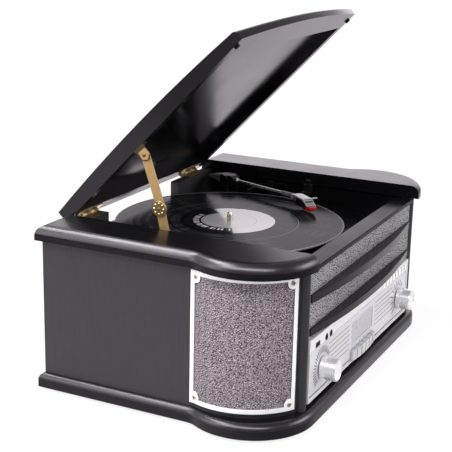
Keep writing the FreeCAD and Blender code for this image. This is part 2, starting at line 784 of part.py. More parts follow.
def button(index):
    """One key of the bowed row, with the stem that presses its contact."""
    left = (index - BUTTON_COUNT / 2) * BUTTON_PITCH
    half, _ = button_row(0)
    low = BUTTON_Z
    high = BUTTON_Z + BUTTON_H
    row = bowed_block(half, PANEL_FACE, FRONT_FACE - BUTTON_END_RISE, BUTTON_BOW, (low, high))
    reach = (BOARD_FRONT - KNOB_LENGTH, CIRCUIT_Y)
    width = (left + BUTTON_GAP / 2, left + BUTTON_PITCH - BUTTON_GAP / 2)
    cap = row.common(span_box(width, reach, (low, high)))
    stem_x = left + (BUTTON_PITCH - BUTTON_STEM) / 2
    stem_z = (low + high - BUTTON_STEM) / 2
    depth = (PANEL_FACE, CIRCUIT_Y - BUTTON_TRAVEL - FIT_GAP)
    stem = span_box((stem_x, stem_x + BUTTON_STEM), depth, (stem_z, stem_z + BUTTON_STEM))
    return cap.fuse(stem).removeSplitter()


# Lid

def opened(shape):
    """Lid piece turned from its closed place to its resting place on the stay."""
    turned = shape.copy()
    turned.rotate(V(0, HINGE_Y, HINGE_Z), X_AXIS, -LID_OPEN_DEG)
    return turned


def crown_circle():
    """Middle and radius of the lid's crown, in Y and Z, through its rear, highest and front heights."""
    points = [
        (HINGE_Y + LID_REAR, LID_REAR_H),
        (HINGE_Y - LID_CROWN_AT, LID_CROWN_H),
        (HINGE_Y - LID_REACH, LID_FRONT_H),
    ]
    circle = Part.Circle(*[V(0, y, LID_UNDER + h) for y, h in points])
    return circle.Center, circle.Radius


def lid_block():
    """Closed lid as one block: bowed front in plan, crowned top, softened upper edge at the front."""
    front = HINGE_Y - LID_REACH
    tall = (LID_UNDER, LID_UNDER + 2 * LID_CROWN_H)
    plan = bowed_block(LID_HALF_WIDTH, HINGE_Y + LID_REAR, front, LID_BOW, tall)
    centre, radius = crown_circle()
    crown = rod(V(-WELL_HALF_WIDTH, centre.y, centre.z), X_AXIS, radius, 2 * WELL_HALF_WIDTH)
    block = plan.common(crown)
    level = LID_UNDER + TRAY_H / 4
    boxes = [(edge, edge.BoundBox) for edge in block.Edges]
    upper_front = [edge for edge, box in boxes if box.ZMin > level and box.YMax < front + CUT_OVER]
    return block.makeFillet(LID_EDGE_ROUND, upper_front)


def lid_panel():
    reach = (HINGE_Y - LID_REACH - LID_BOW, HINGE_Y + LID_REAR)
    width = (-WELL_HALF_WIDTH, WELL_HALF_WIDTH)
    keep = span_box(width, reach, (LID_UNDER + TRAY_H, LID_UNDER + 2 * LID_CROWN_H))
    return opened(lid_block().common(keep))


def lid_rails():
    """Four rails under the panel's edge that leave a shallow tray between them."""
    block = lid_block()
    front = HINGE_Y - LID_REACH
    rear = HINGE_Y + LID_REAR
    low = (LID_UNDER, LID_UNDER + TRAY_H)
    wide = (-LID_HALF_WIDTH, LID_HALF_WIDTH)
    middle = (front + FRONT_RIM, rear - REAR_RIM)
    inner = LID_HALF_WIDTH - SIDE_RIM
    spans = [
        (wide, (front - LID_BOW, middle[0])),
        (wide, (middle[1], rear)),
        ((-LID_HALF_WIDTH, -inner), middle),
        ((inner, LID_HALF_WIDTH), middle),
    ]
    rails = [block.common(span_box(x, y, low)) for x, y in spans]
    room = [hinge_barrel(x, KNUCKLE_R + KNUCKLE_ROOM, KNUCKLE_ROOM) for x in hinge_places()]
    rails[1] = rails[1].cut(room)
    return opened(Part.makeCompound(rails))


def lid_bumpers():
    """Soft pads under the front rail's ends, which land on the cabinet's front rail."""
    drop = LID_LIFT - FIT_GAP
    y = (FRONT_FACE + BUMPER_INSET, FRONT_FACE + BUMPER_INSET + BUMPER_LENGTH)
    x = (LID_HALF_WIDTH - BUMPER_INSET - BUMPER_W, LID_HALF_WIDTH - BUMPER_INSET)
    return opened(pair(span_box(x, y, (LID_UNDER - drop, LID_UNDER))))


def hinge_places():
    return (-HINGE_X, HINGE_X)


def hinge_barrel(x, radius, extra):
    """Round bar on the hinge axis, as long as one hinge and an extra length at each end."""
    start = V(x - HINGE_LENGTH / 2 - extra, HINGE_Y, HINGE_Z)
    return rod(start, X_AXIS, radius, HINGE_LENGTH + 2 * extra)


def knuckle(x, index, radius, gap):
    """One knuckle's length of the barrel, shortened or lengthened by a gap at each end."""
    pitch = HINGE_LENGTH / HINGE_KNUCKLES
    start = V(x - HINGE_LENGTH / 2 + index * pitch + gap, HINGE_Y, HINGE_Z)
    return rod(start, X_AXIS, radius, pitch - 2 * gap)


def hinge_leaf(x, plate_z, own, other):
    """Leaf plate with its own knuckles, cleared round the other leaf's knuckles."""
    width = (x - HINGE_LENGTH / 2, x + HINGE_LENGTH / 2)
    plate = span_box(width, (HINGE_Y - LEAF_W, HINGE_Y), plate_z)
    room = [knuckle(x, index, KNUCKLE_R + KNUCKLE_ROOM, 0) for index in other]
    knuckles = [knuckle(x, index, KNUCKLE_R, KNUCKLE_GAP / 2) for index in own]
    return plate.cut(room).fuse(knuckles)


def hinge_frame_leaves():
    """Leaves on the back panel's seats, with the pin pressed into their knuckles."""
    leaves = []
    for x in hinge_places():
        own = range(0, HINGE_KNUCKLES, 2)
        other = range(1, HINGE_KNUCKLES, 2)
        leaf = hinge_leaf(x, (HINGE_SEAT, HINGE_SEAT + LEAF_T), own, other)
        leaves.append(leaf.fuse(hinge_barrel(x, HINGE_PIN_R, 0)).removeSplitter())
    return Part.makeCompound(leaves)


def hinge_lid_leaves():
    """Leaves under the lid's rear rail, whose knuckles run on the pin."""
    leaves = []
    for x in hinge_places():
        own = range(1, HINGE_KNUCKLES, 2)
        other = range(0, HINGE_KNUCKLES, 2)
        leaf = hinge_leaf(x, (LID_UNDER - LEAF_T, LID_UNDER), own, other)
        leaves.append(leaf.cut(hinge_barrel(x, HINGE_PIN_R + RUN_CLEARANCE, 0)).removeSplitter())
    return opened(Part.makeCompound(leaves))


# Lid stay

def stay_lid_pivot():
    """Place of the stay's upper pivot with the lid open, as Y and Z."""
    turn = math.radians(LID_OPEN_DEG)
    along = -STAY_LID_ALONG
    rise = LID_UNDER - STAY_LID_DROP - HINGE_Z
    y = along * math.cos(turn) + rise * math.sin(turn)
    z = rise * math.cos(turn) - along * math.sin(turn)
    return HINGE_Y + y, HINGE_Z + z


def stay_wall_pivot():
    return STAY_WALL_Y, WALL_TOP - STAY_WALL_DROP


def stay_elbow():
    """Elbow of two equal arms between the pivots, bent a little towards the front with the lid open."""
    top_y, top_z = stay_lid_pivot()
    low_y, low_z = stay_wall_pivot()
    half_y = (top_y - low_y) / 2
    half_z = (top_z - low_z) / 2
    half = math.hypot(half_y, half_z)
    return low_y + half_y - STAY_BEND * half_z / half, low_z + half_z + STAY_BEND * half_y / half


def stay_bar(start, end, x):
    """Flat bar with round ends between two pivots, in one layer."""
    along = V(0, end[0] - start[0], end[1] - start[1])
    side = V(0, -along.z, along.y)
    side.multiply(STAY_WIDTH / 2 / along.Length)
    low = V(x, start[0], start[1])
    corners = [low + side, low - side, low - side + along, low + side + along]
    bar = polygon_prism(corners, V(STAY_T, 0, 0))
    ends = [rod(V(x, y, z), X_AXIS, STAY_WIDTH / 2, STAY_T) for y, z in (start, end)]
    return bar.fuse(ends).removeSplitter()


def pivot_hole(pivot, x, clearance):
    return rod(V(x, pivot[0], pivot[1]), X_AXIS, STAY_PIN_R + clearance, STAY_T)


def stay_upper_arm():
    """Arm from the lid to the elbow, which carries the elbow's rivet."""
    elbow = stay_elbow()
    top = stay_lid_pivot()
    bar = stay_bar(top, elbow, STAY_UPPER_X).cut(pivot_hole(top, STAY_UPPER_X, RUN_CLEARANCE))
    length = STAY_UPPER_X - STAY_DISC_X
    rivet = rod(V(STAY_DISC_X, elbow[0], elbow[1]), X_AXIS, STAY_PIN_R, length)
    return bar.fuse(rivet).removeSplitter()


def stay_lower_arm():
    """Arm from the elbow to the wall, with the dimpled disc that hides the elbow's joint."""
    elbow = stay_elbow()
    low = stay_wall_pivot()
    bar = stay_bar(elbow, low, STAY_LOWER_X)
    start = V(STAY_DISC_X, elbow[0], elbow[1])
    length = STAY_LOWER_X - STAY_DISC_X
    disc = rod(start, X_AXIS, STAY_DISC_R, length)
    rim = [edge for edge in disc.Edges if edge.BoundBox.XMax < STAY_DISC_X + RUN_CLEARANCE]
    disc = disc.makeFillet(STAY_DISC_T / 3, rim)
    holes = [rod(start, X_AXIS, STAY_PIN_R + RUN_CLEARANCE, length + STAY_T)]
    for index in range(STAY_DIMPLES):
        turn = 2 * math.pi * index / STAY_DIMPLES
        y = elbow[0] + STAY_DIMPLE_RING * math.cos(turn)
        z = elbow[1] + STAY_DIMPLE_RING * math.sin(turn)
        holes.append(rod(V(STAY_DISC_X, y, z), X_AXIS, STAY_DIMPLE_R, STAY_DISC_T / 2))
    holes.append(pivot_hole(low, STAY_LOWER_X, RUN_CLEARANCE))
    return bar.fuse(disc).cut(holes).removeSplitter()


def stay_lid_bracket():
    """Plate under the lid's left rail with a lug and the pin of the upper pivot."""
    pivot_y = HINGE_Y - STAY_LID_ALONG
    pivot_z = LID_UNDER - STAY_LID_DROP
    lug_x = STAY_LOWER_X
    length = (pivot_y - STAY_PLATE_LENGTH / 2, pivot_y + STAY_PLATE_LENGTH / 2)
    plate = span_box((lug_x, lug_x + STAY_PLATE_W), length, (LID_UNDER - STAY_PLATE_T, LID_UNDER))
    neck_y = (pivot_y - STAY_LUG_R, pivot_y + STAY_LUG_R)
    neck = span_box((lug_x, lug_x + STAY_T), neck_y, (pivot_z, LID_UNDER))
    lug = rod(V(lug_x, pivot_y, pivot_z), X_AXIS, STAY_LUG_R, STAY_T)
    pin = rod(V(lug_x, pivot_y, pivot_z), X_AXIS, STAY_PIN_R, 2 * STAY_T + 2 * STAY_LAYER_GAP)
    return opened(plate.fuse([neck, lug, pin]).removeSplitter())


def stay_wall_bracket():
    """Plate on the well's left wall whose stud carries the foot of the stay, a little short of the arm."""
    y, z = stay_wall_pivot()
    half = STAY_LUG_R
    plate = span_box((-WELL_WALL_X, STAY_PLATE_T - WELL_WALL_X), (y - half, y + half), (z - half, z + half))
    length = STAY_LOWER_X - STAY_LAYER_GAP + WELL_WALL_X
    stud = rod(V(-WELL_WALL_X, y, z), X_AXIS, STAY_PIN_R * 2, length)
    return plate.fuse(stud).removeSplitter()


# Deck

def deck_plate():
    """Deck between the well's walls, with holes for what passes through it."""
    half = WELL_WALL_X - FIT_GAP
    under = DECK_TOP - DECK_T
    plate = span_box((-half, half), (PANEL_BACK + FIT_GAP, BACK_INSIDE - FIT_GAP), (under, DECK_TOP))
    holes = [
        rod(V(PLATTER_X, PLATTER_Y, under), Z_AXIS, BUSH_R, DECK_T),
        rod(V(MOTOR_X, MOTOR_Y, under), Z_AXIS, MOTOR_SHAFT_R * 2, DECK_T),
        rod(V(ARM_X, ARM_Y, under), Z_AXIS, ARM_SHAFT_R + FIT_GAP, DECK_T),
    ]
    switch_x, switch_y = switch_place()
    slot_y = (switch_y - SWITCH_SLOT_W / 2, switch_y + SWITCH_TRAVEL + SWITCH_SLOT_W / 2)
    slot_x = (switch_x - SWITCH_SLOT_W / 2, switch_x + SWITCH_SLOT_W / 2)
    holes.append(span_box(slot_x, slot_y, (under, DECK_TOP)))
    holes.append(stay_slot((under, DECK_TOP)))
    return plate.cut(holes)


def platter_bearing():
    """Bush in the deck with a flange under it, which the spindle turns in."""
    low = DECK_TOP - DECK_T - SPINDLE_TAIL
    length = SPINDLE_TAIL + DECK_T
    body = rod(V(PLATTER_X, PLATTER_Y, low), Z_AXIS, BUSH_R, length)
    flange = rod(V(PLATTER_X, PLATTER_Y, DECK_TOP - DECK_T - MAT_T), Z_AXIS, BUSH_R + CLEAT_H, MAT_T)
    bore = rod(V(PLATTER_X, PLATTER_Y, low + MAT_T), Z_AXIS, SPINDLE_R + RUN_CLEARANCE, length)
    return body.fuse(flange).cut(bore).removeSplitter()


def platter():
    """Hollow platter with an outer skirt and the ring that the belt runs on."""
    skirt = PLATTER_R - PLATTER_SKIN
    roof = PLATTER_H - PLATTER_SKIN
    ring_in = DRIVE_RING_R - DRIVE_RING_WALL
    edge = PLATTER_SKIN / 2
    bore = SPINDLE_R + FIT_GAP
    profile = [
        (bore, PLATTER_H), (PLATTER_R - edge, PLATTER_H), (PLATTER_R, PLATTER_H - edge), (PLATTER_R, 0),
        (skirt, 0), (skirt, roof), (DRIVE_RING_R, roof), (DRIVE_RING_R, edge),
        (ring_in, edge), (ring_in, roof),
        (BUSH_R, roof), (BUSH_R, edge), (bore, edge),
    ]
    return revolved(profile, V(PLATTER_X, PLATTER_Y, PLATTER_Z))


def platter_mat():
    return ring(V(PLATTER_X, PLATTER_Y, PLATTER_TOP), Z_AXIS, MAT_R, SPINDLE_R + FIT_GAP, MAT_T)


def spindle():
    """Spindle from its bush to a rounded tip over the record, with the collar that carries the platter."""
    low = MAT_T + FIT_GAP - SPINDLE_TAIL - DECK_T - PLATTER_GAP
    high = RECORD_TOP + SPINDLE_RISE - PLATTER_Z
    tip = SPINDLE_R / 2
    collar_r = SPINDLE_R + SPINDLE_COLLAR
    collar_top = PLATTER_SKIN / 2
    profile = [
        (0, low), (SPINDLE_R, low), (SPINDLE_R, 0), (collar_r, 0),
        (collar_r, collar_top), (SPINDLE_R, collar_top),
        (SPINDLE_R, high - tip * 2), (SPINDLE_R - tip / 2, high - tip / 2), (tip, high), (0, high),
    ]
    return revolved(profile, V(PLATTER_X, PLATTER_Y, PLATTER_Z))


def vinyl_record():
    """Record with a thin rim that is a little raised and a flat middle for the label."""
    edge = RECORD_T / 4
    profile = [
        (RECORD_HOLE_R, 0), (RECORD_R - edge, 0), (RECORD_R, edge), (RECORD_R, RECORD_T - edge),
        (RECORD_R - edge, RECORD_T), (LABEL_R, RECORD_T), (LABEL_R, RECORD_T - LABEL_T),
        (RECORD_HOLE_R, RECORD_T - LABEL_T),
    ]
    return revolved(profile, V(PLATTER_X, PLATTER_Y, RECORD_Z))


def record_label():
    return ring(V(PLATTER_X, PLATTER_Y, RECORD_TOP - LABEL_T), Z_AXIS, LABEL_R, RECORD_HOLE_R, LABEL_T)


def belt_height():
    """Height of the pulley and of the middle of the belt's run on the platter's ring."""
    roof = PLATTER_Z + PLATTER_H - PLATTER_SKIN
    return roof - FIT_GAP - BELT_H


def belt_loop(ring_r, pulley_r):
    """Plan face inside two circles and their outer tangents."""
    low = belt_height()
    lean = math.degrees(math.asin((ring_r - pulley_r) / PULLEY_REACH))
    platter_middle = (PLATTER_X, PLATTER_Y)
    pulley_middle = (MOTOR_X, MOTOR_Y)
    edges = [
        arc_edge(platter_middle, ring_r, 180 - lean, 360 + lean, low),
        arc_edge(pulley_middle, pulley_r, lean, 180 - lean, low),
    ]
    for angle in (lean, 180 - lean):
        start = polar(platter_middle, ring_r, angle, low)
        edges.append(line_edge(start, polar(pulley_middle, pulley_r, angle, low)))
    return closed_face(edges)


def drive_belt():
    """Flat belt round the platter's ring and the motor's pulley."""
    inner = belt_loop(DRIVE_RING_R + BELT_GAP, PULLEY_R + BELT_GAP)
    outer = belt_loop(DRIVE_RING_R + BELT_GAP + BELT_T, PULLEY_R + BELT_GAP + BELT_T)
    return outer.cut(inner).extrude(V(0, 0, BELT_H))


def drive_motor():
    """Motor can hung under the deck."""
    low = DECK_TOP - DECK_T - MOTOR_H
    can = rod(V(MOTOR_X, MOTOR_Y, low), Z_AXIS, MOTOR_R, MOTOR_H)
    return can.cut(rod(V(MOTOR_X, MOTOR_Y, low + MAT_T), Z_AXIS, MOTOR_SHAFT_R + RUN_CLEARANCE, MOTOR_H))


def motor_pulley():
    """Pulley with its shaft, flanged below the belt."""
    low = belt_height()
    shaft_low = DECK_TOP - DECK_T - MOTOR_H + MAT_T + FIT_GAP
    foot = V(MOTOR_X, MOTOR_Y, low - PULLEY_FLANGE)
    flange = rod(foot, Z_AXIS, PULLEY_R + BELT_T, PULLEY_FLANGE - FIT_GAP)
    wheel = rod(foot, Z_AXIS, PULLEY_R, BELT_H + PULLEY_FLANGE)
    shaft = rod(V(MOTOR_X, MOTOR_Y, shaft_low), Z_AXIS, MOTOR_SHAFT_R, low - shaft_low)
    return wheel.fuse([flange, shaft]).removeSplitter()


# Tonearm, modelled pointing to the front from a pivot at the origin, then turned and moved into place

def arm_placed(shape):
    """Arm piece turned to its resting angle over the record and moved to its pivot."""
    placed = shape.copy()
    placed.rotate(V(0, 0, 0), Z_AXIS, -ARM_REST_DEG)
    placed.translate(V(ARM_X, ARM_Y, ARM_Z))
    return placed


def head_placed(shape):
    """Head piece turned by the offset angle at the tube's end, cut flush there and placed with the arm."""
    placed = shape.copy()
    end = -ARM_TUBE_LENGTH
    placed.rotate(V(0, end, 0), Z_AXIS, -HEAD_OFFSET_DEG)
    behind = span_box((-HEAD_WIDTH, HEAD_WIDTH), (end, end + HEAD_WIDTH), (-HEAD_WIDTH, HEAD_WIDTH))
    return arm_placed(placed.cut(behind))


def arm_base():
    """Moulded foot with the bush that the arm swivels in, and the cue lever's bearing post on one plinth."""
    foot = rod(V(ARM_X, ARM_Y, DECK_TOP), Z_AXIS, ARM_BASE_R, ARM_BASE_H)
    foot = foot.makeFillet(ARM_BASE_H / 3, edges_at_height(foot, DECK_TOP + ARM_BASE_H))
    _, _, shaft_y, z = cue_places()
    x = (cue_post_x(), cue_post_x() + CUE_POST_W)
    y = (shaft_y - CUE_POST_W / 2, shaft_y + CUE_POST_W / 2)
    post = span_box(x, y, (DECK_TOP, z + CUE_POST_W / 2))
    plinth = span_box((ARM_X, x[1]), (y[0], ARM_Y), (DECK_TOP, DECK_TOP + ARM_BASE_H / 2))
    holes = [
        rod(V(ARM_X, ARM_Y, DECK_TOP), Z_AXIS, ARM_SHAFT_R + RUN_CLEARANCE, ARM_BASE_H),
        rod(V(x[0], shaft_y, z), X_AXIS, CUE_ROD_R + RUN_CLEARANCE, CUE_POST_W),
    ]
    return foot.fuse([post, plinth]).cut(holes).removeSplitter()


def arm_gimbal():
    """Swivel yoke whose two cheeks hold the lift pins."""
    floor = ARM_BASE_H + FIT_GAP - ARM_AXIS_RISE
    inside = BLOCK_WIDTH / 2 + FIT_GAP
    outside = inside + GIMBAL_CHEEK
    bridge_t = GIMBAL_CHEEK * 2
    half = BLOCK_LENGTH / 4
    shaft = rod(V(0, 0, -ARM_AXIS_RISE - DECK_T), Z_AXIS, ARM_SHAFT_R, ARM_BASE_H + DECK_T + FIT_GAP)
    column = Part.makeCone(ARM_BASE_R - GIMBAL_CHEEK, outside, bridge_t, V(0, 0, floor), Z_AXIS)
    cheeks = []
    for side in (-1, 1):
        x = sorted((side * inside, side * outside))
        plate = span_box(x, (-half, half), (floor + bridge_t, 0))
        cap = rod(V(x[0], 0, 0), X_AXIS, half, GIMBAL_CHEEK)
        pin_start = side * (inside - GIMBAL_CHEEK)
        pin = rod(V(min(pin_start, side * outside), 0, 0), X_AXIS, GIMBAL_PIN_R, 2 * GIMBAL_CHEEK)
        cheeks += [plate, cap, pin]
    return arm_placed(column.fuse([shaft] + cheeks).removeSplitter())


def arm_pivot_block():
    """Black block on the lift pins, with the counterweight behind it."""
    half = BLOCK_WIDTH / 2
    low = -BLOCK_DROP
    block = span_box((-half, half), (-BLOCK_LENGTH / 2, BLOCK_LENGTH / 2), (low, low + BLOCK_H))
    top = edges_at_height(block, low + BLOCK_H)
    block = block.makeFillet(BLOCK_H / 6, top)
    sink = TAIL_R / 4
    tail = rod(V(0, BLOCK_LENGTH / 2, -sink), Y_AXIS, TAIL_R, TAIL_LENGTH)
    far = BLOCK_LENGTH / 2 + TAIL_LENGTH / 2
    tail = tail.makeChamfer(TAIL_R / 6, [edge for edge in tail.Edges if edge.BoundBox.YMin > far])
    pin_hole = rod(V(-half, 0, 0), X_AXIS, GIMBAL_PIN_R + RUN_CLEARANCE, BLOCK_WIDTH)
    return arm_placed(block.fuse(tail).cut(pin_hole).removeSplitter())


def arm_tube():
    length = ARM_TUBE_LENGTH - BLOCK_LENGTH / 2
    return arm_placed(rod(V(0, -BLOCK_LENGTH / 2, 0), V(0, -1, 0), ARM_TUBE_R, length))


def head_front():
    """Ends of the shell's sloped front on its outer side, as Y and Z."""
    end = -ARM_TUBE_LENGTH - HEAD_LENGTH
    return (end + HEAD_SLOPE, HEAD_RISE), (end, HEAD_RISE - HEAD_DROP)


def headshell():
    """Bent shell: a neck on the tube, a raised plate with a finger lift, and a sloped front."""
    half = HEAD_WIDTH / 2
    start = -ARM_TUBE_LENGTH
    knee, toe = head_front()
    under = HEAD_RISE - HEAD_T
    side = [
        (start, -ARM_TUBE_R), (start, ARM_TUBE_R), (start - HEAD_NECK, HEAD_RISE), knee, toe,
        (toe[0] + HEAD_T, toe[1]), (knee[0] + HEAD_T / 2, under),
        (start - HEAD_NECK, under), (start - HEAD_NECK / 2, -ARM_TUBE_R),
    ]
    shell = polygon_prism([V(-half, y, z) for y, z in side], V(HEAD_WIDTH, 0, 0))
    finger_y = (knee[0], knee[0] + HEAD_T)
    finger = span_box((half - HEAD_T, half + FINGER_LENGTH), finger_y, (HEAD_RISE - HEAD_T / 2, HEAD_RISE))
    return head_placed(shell.fuse(finger).removeSplitter())


def cartridge():
    """Body under the shell's plate, with the stylus holder under its front and the tip over the record."""
    half = CARTRIDGE_WIDTH / 2
    knee, toe = head_front()
    top = HEAD_RISE - HEAD_T
    tip_z = RECORD_TOP + FIT_GAP - ARM_Z
    low = tip_z + STYLUS_LENGTH
    rear = knee[0] + CARTRIDGE_LENGTH
    front = toe[0] - CARTRIDGE_REACH
    brow = toe[1] - FIT_GAP
    side = [
        (rear, top), (knee[0] + HEAD_T / 2 + FIT_GAP, top), (toe[0] + HEAD_T + FIT_GAP, brow), (front, brow),
        (front, (brow + low) / 2), (toe[0] + HEAD_T, low), (knee[0], low), (rear, (top + low) / 2),
    ]
    body = polygon_prism([V(-half, y, z) for y, z in side], V(CARTRIDGE_WIDTH, 0, 0))
    tip = rod(V(0, toe[0] + HEAD_T + 2 * STYLUS_TIP_R, tip_z), Z_AXIS, STYLUS_TIP_R, STYLUS_LENGTH)
    return head_placed(body.fuse(tip).removeSplitter())


def deck_point(reach, angle):
    """Point on the deck under the tube, a reach from the arm's pivot at a swing angle from the front."""
    turn = math.radians(angle)
    return ARM_X - reach * math.sin(turn), ARM_Y - reach * math.cos(turn)


def cue_places():
    """Middle of the lifting rod in X, its Y, the shaft's Y, and the height of both."""
    x, y = deck_point(CUE_REACH, ARM_REST_DEG / 2)
    return x, y, y - CUE_CRANK, TUBE_BOTTOM - CUE_GAP - CUE_ROD_R


def cue_post_x():
    x, _, _, _ = cue_places()
    return x + CUE_ROD_LENGTH / 2 + 2 * CUE_ROD_R


def arm_rest():
    """Post with an open cradle for the parked arm and a lip that carries the clip's pin."""
    x, y = deck_point(REST_REACH, ARM_REST_DEG - ARM_STORE_DEG)
    floor = TUBE_BOTTOM - CUE_GAP
    post = rod(V(x, y, DECK_TOP), Z_AXIS, REST_POST_R, floor - DECK_TOP)
    half = ARM_TUBE_R + REST_LIP
    long_y = (y - REST_WIDTH / 2, y + REST_WIDTH / 2)
    cradle = span_box((x - half, x + half), long_y, (floor - REST_LIP, floor))
    lip_x = (x + ARM_TUBE_R + CUE_GAP, x + half)
    lip = span_box(lip_x, long_y, (floor, clip_height()))
    clip_half = REST_WIDTH / 4 + FIT_GAP
    room = span_box(lip_x, (y - clip_half, y + clip_half), (clip_height() - 2 * CLIP_T, clip_height()))
    pin = rod(V(clip_axis_x(), y - REST_WIDTH / 2, clip_height() - CLIP_T), Y_AXIS, CLIP_PIN_R, REST_WIDTH)
    return post.fuse([cradle, lip]).cut(room).fuse(pin).removeSplitter()


def clip_height():
    return ARM_Z + ARM_TUBE_R + CUE_GAP + CLIP_T


def clip_axis_x():
    x, _ = deck_point(REST_REACH, ARM_REST_DEG - ARM_STORE_DEG)
    return x + ARM_TUBE_R + CUE_GAP + (REST_LIP - CUE_GAP) / 2


def arm_clip():
    """Small catch that swings over the parked tube, standing open at rest."""
    _, y = deck_point(REST_REACH, ARM_REST_DEG - ARM_STORE_DEG)
    axis_z = clip_height() - CLIP_T
    half = REST_WIDTH / 4
    x = clip_axis_x()
    wing = span_box((x - CLIP_T / 2, x + CLIP_T / 2), (y - half, y + half), (axis_z, axis_z + CLIP_LENGTH))
    barrel = rod(V(x, y - half, axis_z), Y_AXIS, CLIP_T, 2 * half)
    hole = rod(V(x, y - half, axis_z), Y_AXIS, CLIP_PIN_R + RUN_CLEARANCE, 2 * half)
    return wing.fuse(barrel).cut(hole).removeSplitter()


def cue_lever():
    """Lever whose crank lifts the tube on a rod under it."""
    x, rod_y, shaft_y, z = cue_places()
    start = x - CUE_ROD_LENGTH / 2
    end = cue_post_x() + CUE_POST_W + 2 * CUE_ROD_R
    lift = rod(V(start, rod_y, z), X_AXIS, CUE_ROD_R, CUE_ROD_LENGTH)
    crank_x = x + CUE_ROD_LENGTH / 2
    level = (z - CUE_ROD_R, z + CUE_ROD_R)
    crank = span_box((crank_x - CUE_ROD_R, crank_x + CUE_ROD_R), (shaft_y, rod_y), level)
    shaft = rod(V(crank_x, shaft_y, z), X_AXIS, CUE_ROD_R, end - crank_x)
    handle = span_box((end - 2 * CUE_ROD_R, end), (shaft_y - CUE_HANDLE, shaft_y + CUE_ROD_R), level)
    return lift.fuse([crank, shaft, handle]).removeSplitter()


def switch_place():
    """Middle of the speed selector at the front end of its slot."""
    return ARM_X, PLATTER_Y - RECORD_R + SWITCH_TRAVEL


def speed_selector():
    """Sliding selector: a ridged cap on the deck and a stem through its slot."""
    x, y = switch_place()
    half = SWITCH_SLOT_W / 2 - FIT_GAP
    under = DECK_TOP - DECK_T
    low = under - MAT_T
    high = DECK_TOP + SWITCH_KNOB_H
    wide_x = (x - 2 * half, x + 2 * half)
    wide_y = (y - 2 * half, y + 2 * half)
    stem = span_box((x - half, x + half), (y - half, y + half), (low, DECK_TOP + FIT_GAP))
    cap = span_box(wide_x, wide_y, (DECK_TOP + FIT_GAP, high))
    cap = cap.makeFillet(half / 2, edges_at_height(cap, high))
    keeper = span_box(wide_x, wide_y, (low, under - FIT_GAP))
    return stem.fuse([cap, keeper]).removeSplitter()


# Back and inside

def rca_places():
    return (RCA_X, RCA_X + RCA_PITCH)


def rca_sockets():
    """Two round sockets, each with a collar behind the panel and an open end outside."""
    sockets = []
    for x in rca_places():
        start = V(x, BACK_INSIDE, BASE_TOP + RCA_LIFT)
        face = V(x, BACK_FACE, BASE_TOP + RCA_LIFT)
        body = rod(start, Y_AXIS, RCA_R, WALL + RCA_LENGTH)
        collar = rod(face, Y_AXIS, RCA_R + RCA_PLATE_MARGIN, RCA_PLATE_T)
        bore = rod(face, Y_AXIS, RCA_BORE_R, RCA_LENGTH)
        sockets.append(body.fuse(collar).cut(bore).removeSplitter())
    return Part.makeCompound(sockets)


def inlet_outline(margin):
    half = INLET_W / 2 + margin
    rise = INLET_H / 2 + margin
    middle = BASE_TOP + RCA_LIFT
    depth = (BACK_FACE - INLET_DEPTH, BACK_FACE)
    return span_box((INLET_X - half, INLET_X + half), depth, (middle - rise, middle + rise))


def mains_inlet():
    """Mains socket set into the back panel, with its two contacts."""
    body = inlet_outline(INLET_WALL)
    room = inlet_outline(0)
    room.translate(V(0, INLET_WALL, 0))
    floor = BACK_FACE - INLET_DEPTH + INLET_WALL
    contacts = []
    for side in (-1, 1):
        start = V(INLET_X + side * INLET_W / 6, floor, BASE_TOP + RCA_LIFT)
        contacts.append(rod(start, Y_AXIS, INLET_WALL / 2, INLET_DEPTH / 2))
    return body.cut(room).fuse(contacts)


def transformer():
    """Laminated core on a foot, with the winding through its window."""
    x = INLET_X
    y = BACK_INSIDE - INLET_DEPTH - TRANSFORMER_D
    half = TRANSFORMER_W / 2
    core_y = (y - TRANSFORMER_D / 4, y + TRANSFORMER_D / 4)
    core = span_box((x - half, x + half), core_y, (BASE_TOP, BASE_TOP + TRANSFORMER_H))
    low = BASE_TOP + (TRANSFORMER_H - COIL_H) / 2
    coil_y = (y - TRANSFORMER_D / 2, y + TRANSFORMER_D / 2)
    coil = span_box((x - COIL_W / 2, x + COIL_W / 2), coil_y, (low, low + COIL_H))
    foot = span_box((x - half - CLEAT, x + half + CLEAT), core_y, (BASE_TOP, BASE_TOP + MAT_T))
    return core.fuse([coil, foot]).removeSplitter()


def amplifier_board():
    """Circuit board on posts, with a ribbed heat sink."""
    x0 = -AMP_W / 2
    y0 = -AMP_D / 2
    low = BASE_TOP + AMP_LIFT
    pieces = []
    for x in (x0 + STANDOFF_R, x0 + AMP_W - STANDOFF_R):
        for y in (y0 + STANDOFF_R, y0 + AMP_D - STANDOFF_R):
            pieces.append(rod(V(x, y, BASE_TOP), Z_AXIS, STANDOFF_R, AMP_LIFT))
    for index in range(FIN_COUNT):
        x = x0 + AMP_W / 4 + index * FIN_PITCH
        pieces.append(span_box((x, x + FIN_T), (y0 + AMP_D / 2, y0 + AMP_D), (low, low + HEATSINK_H)))
    sheet = span_box((x0, x0 + AMP_W), (y0, y0 + AMP_D), (low, low + CIRCUIT_T))
    return sheet.fuse(pieces).removeSplitter()


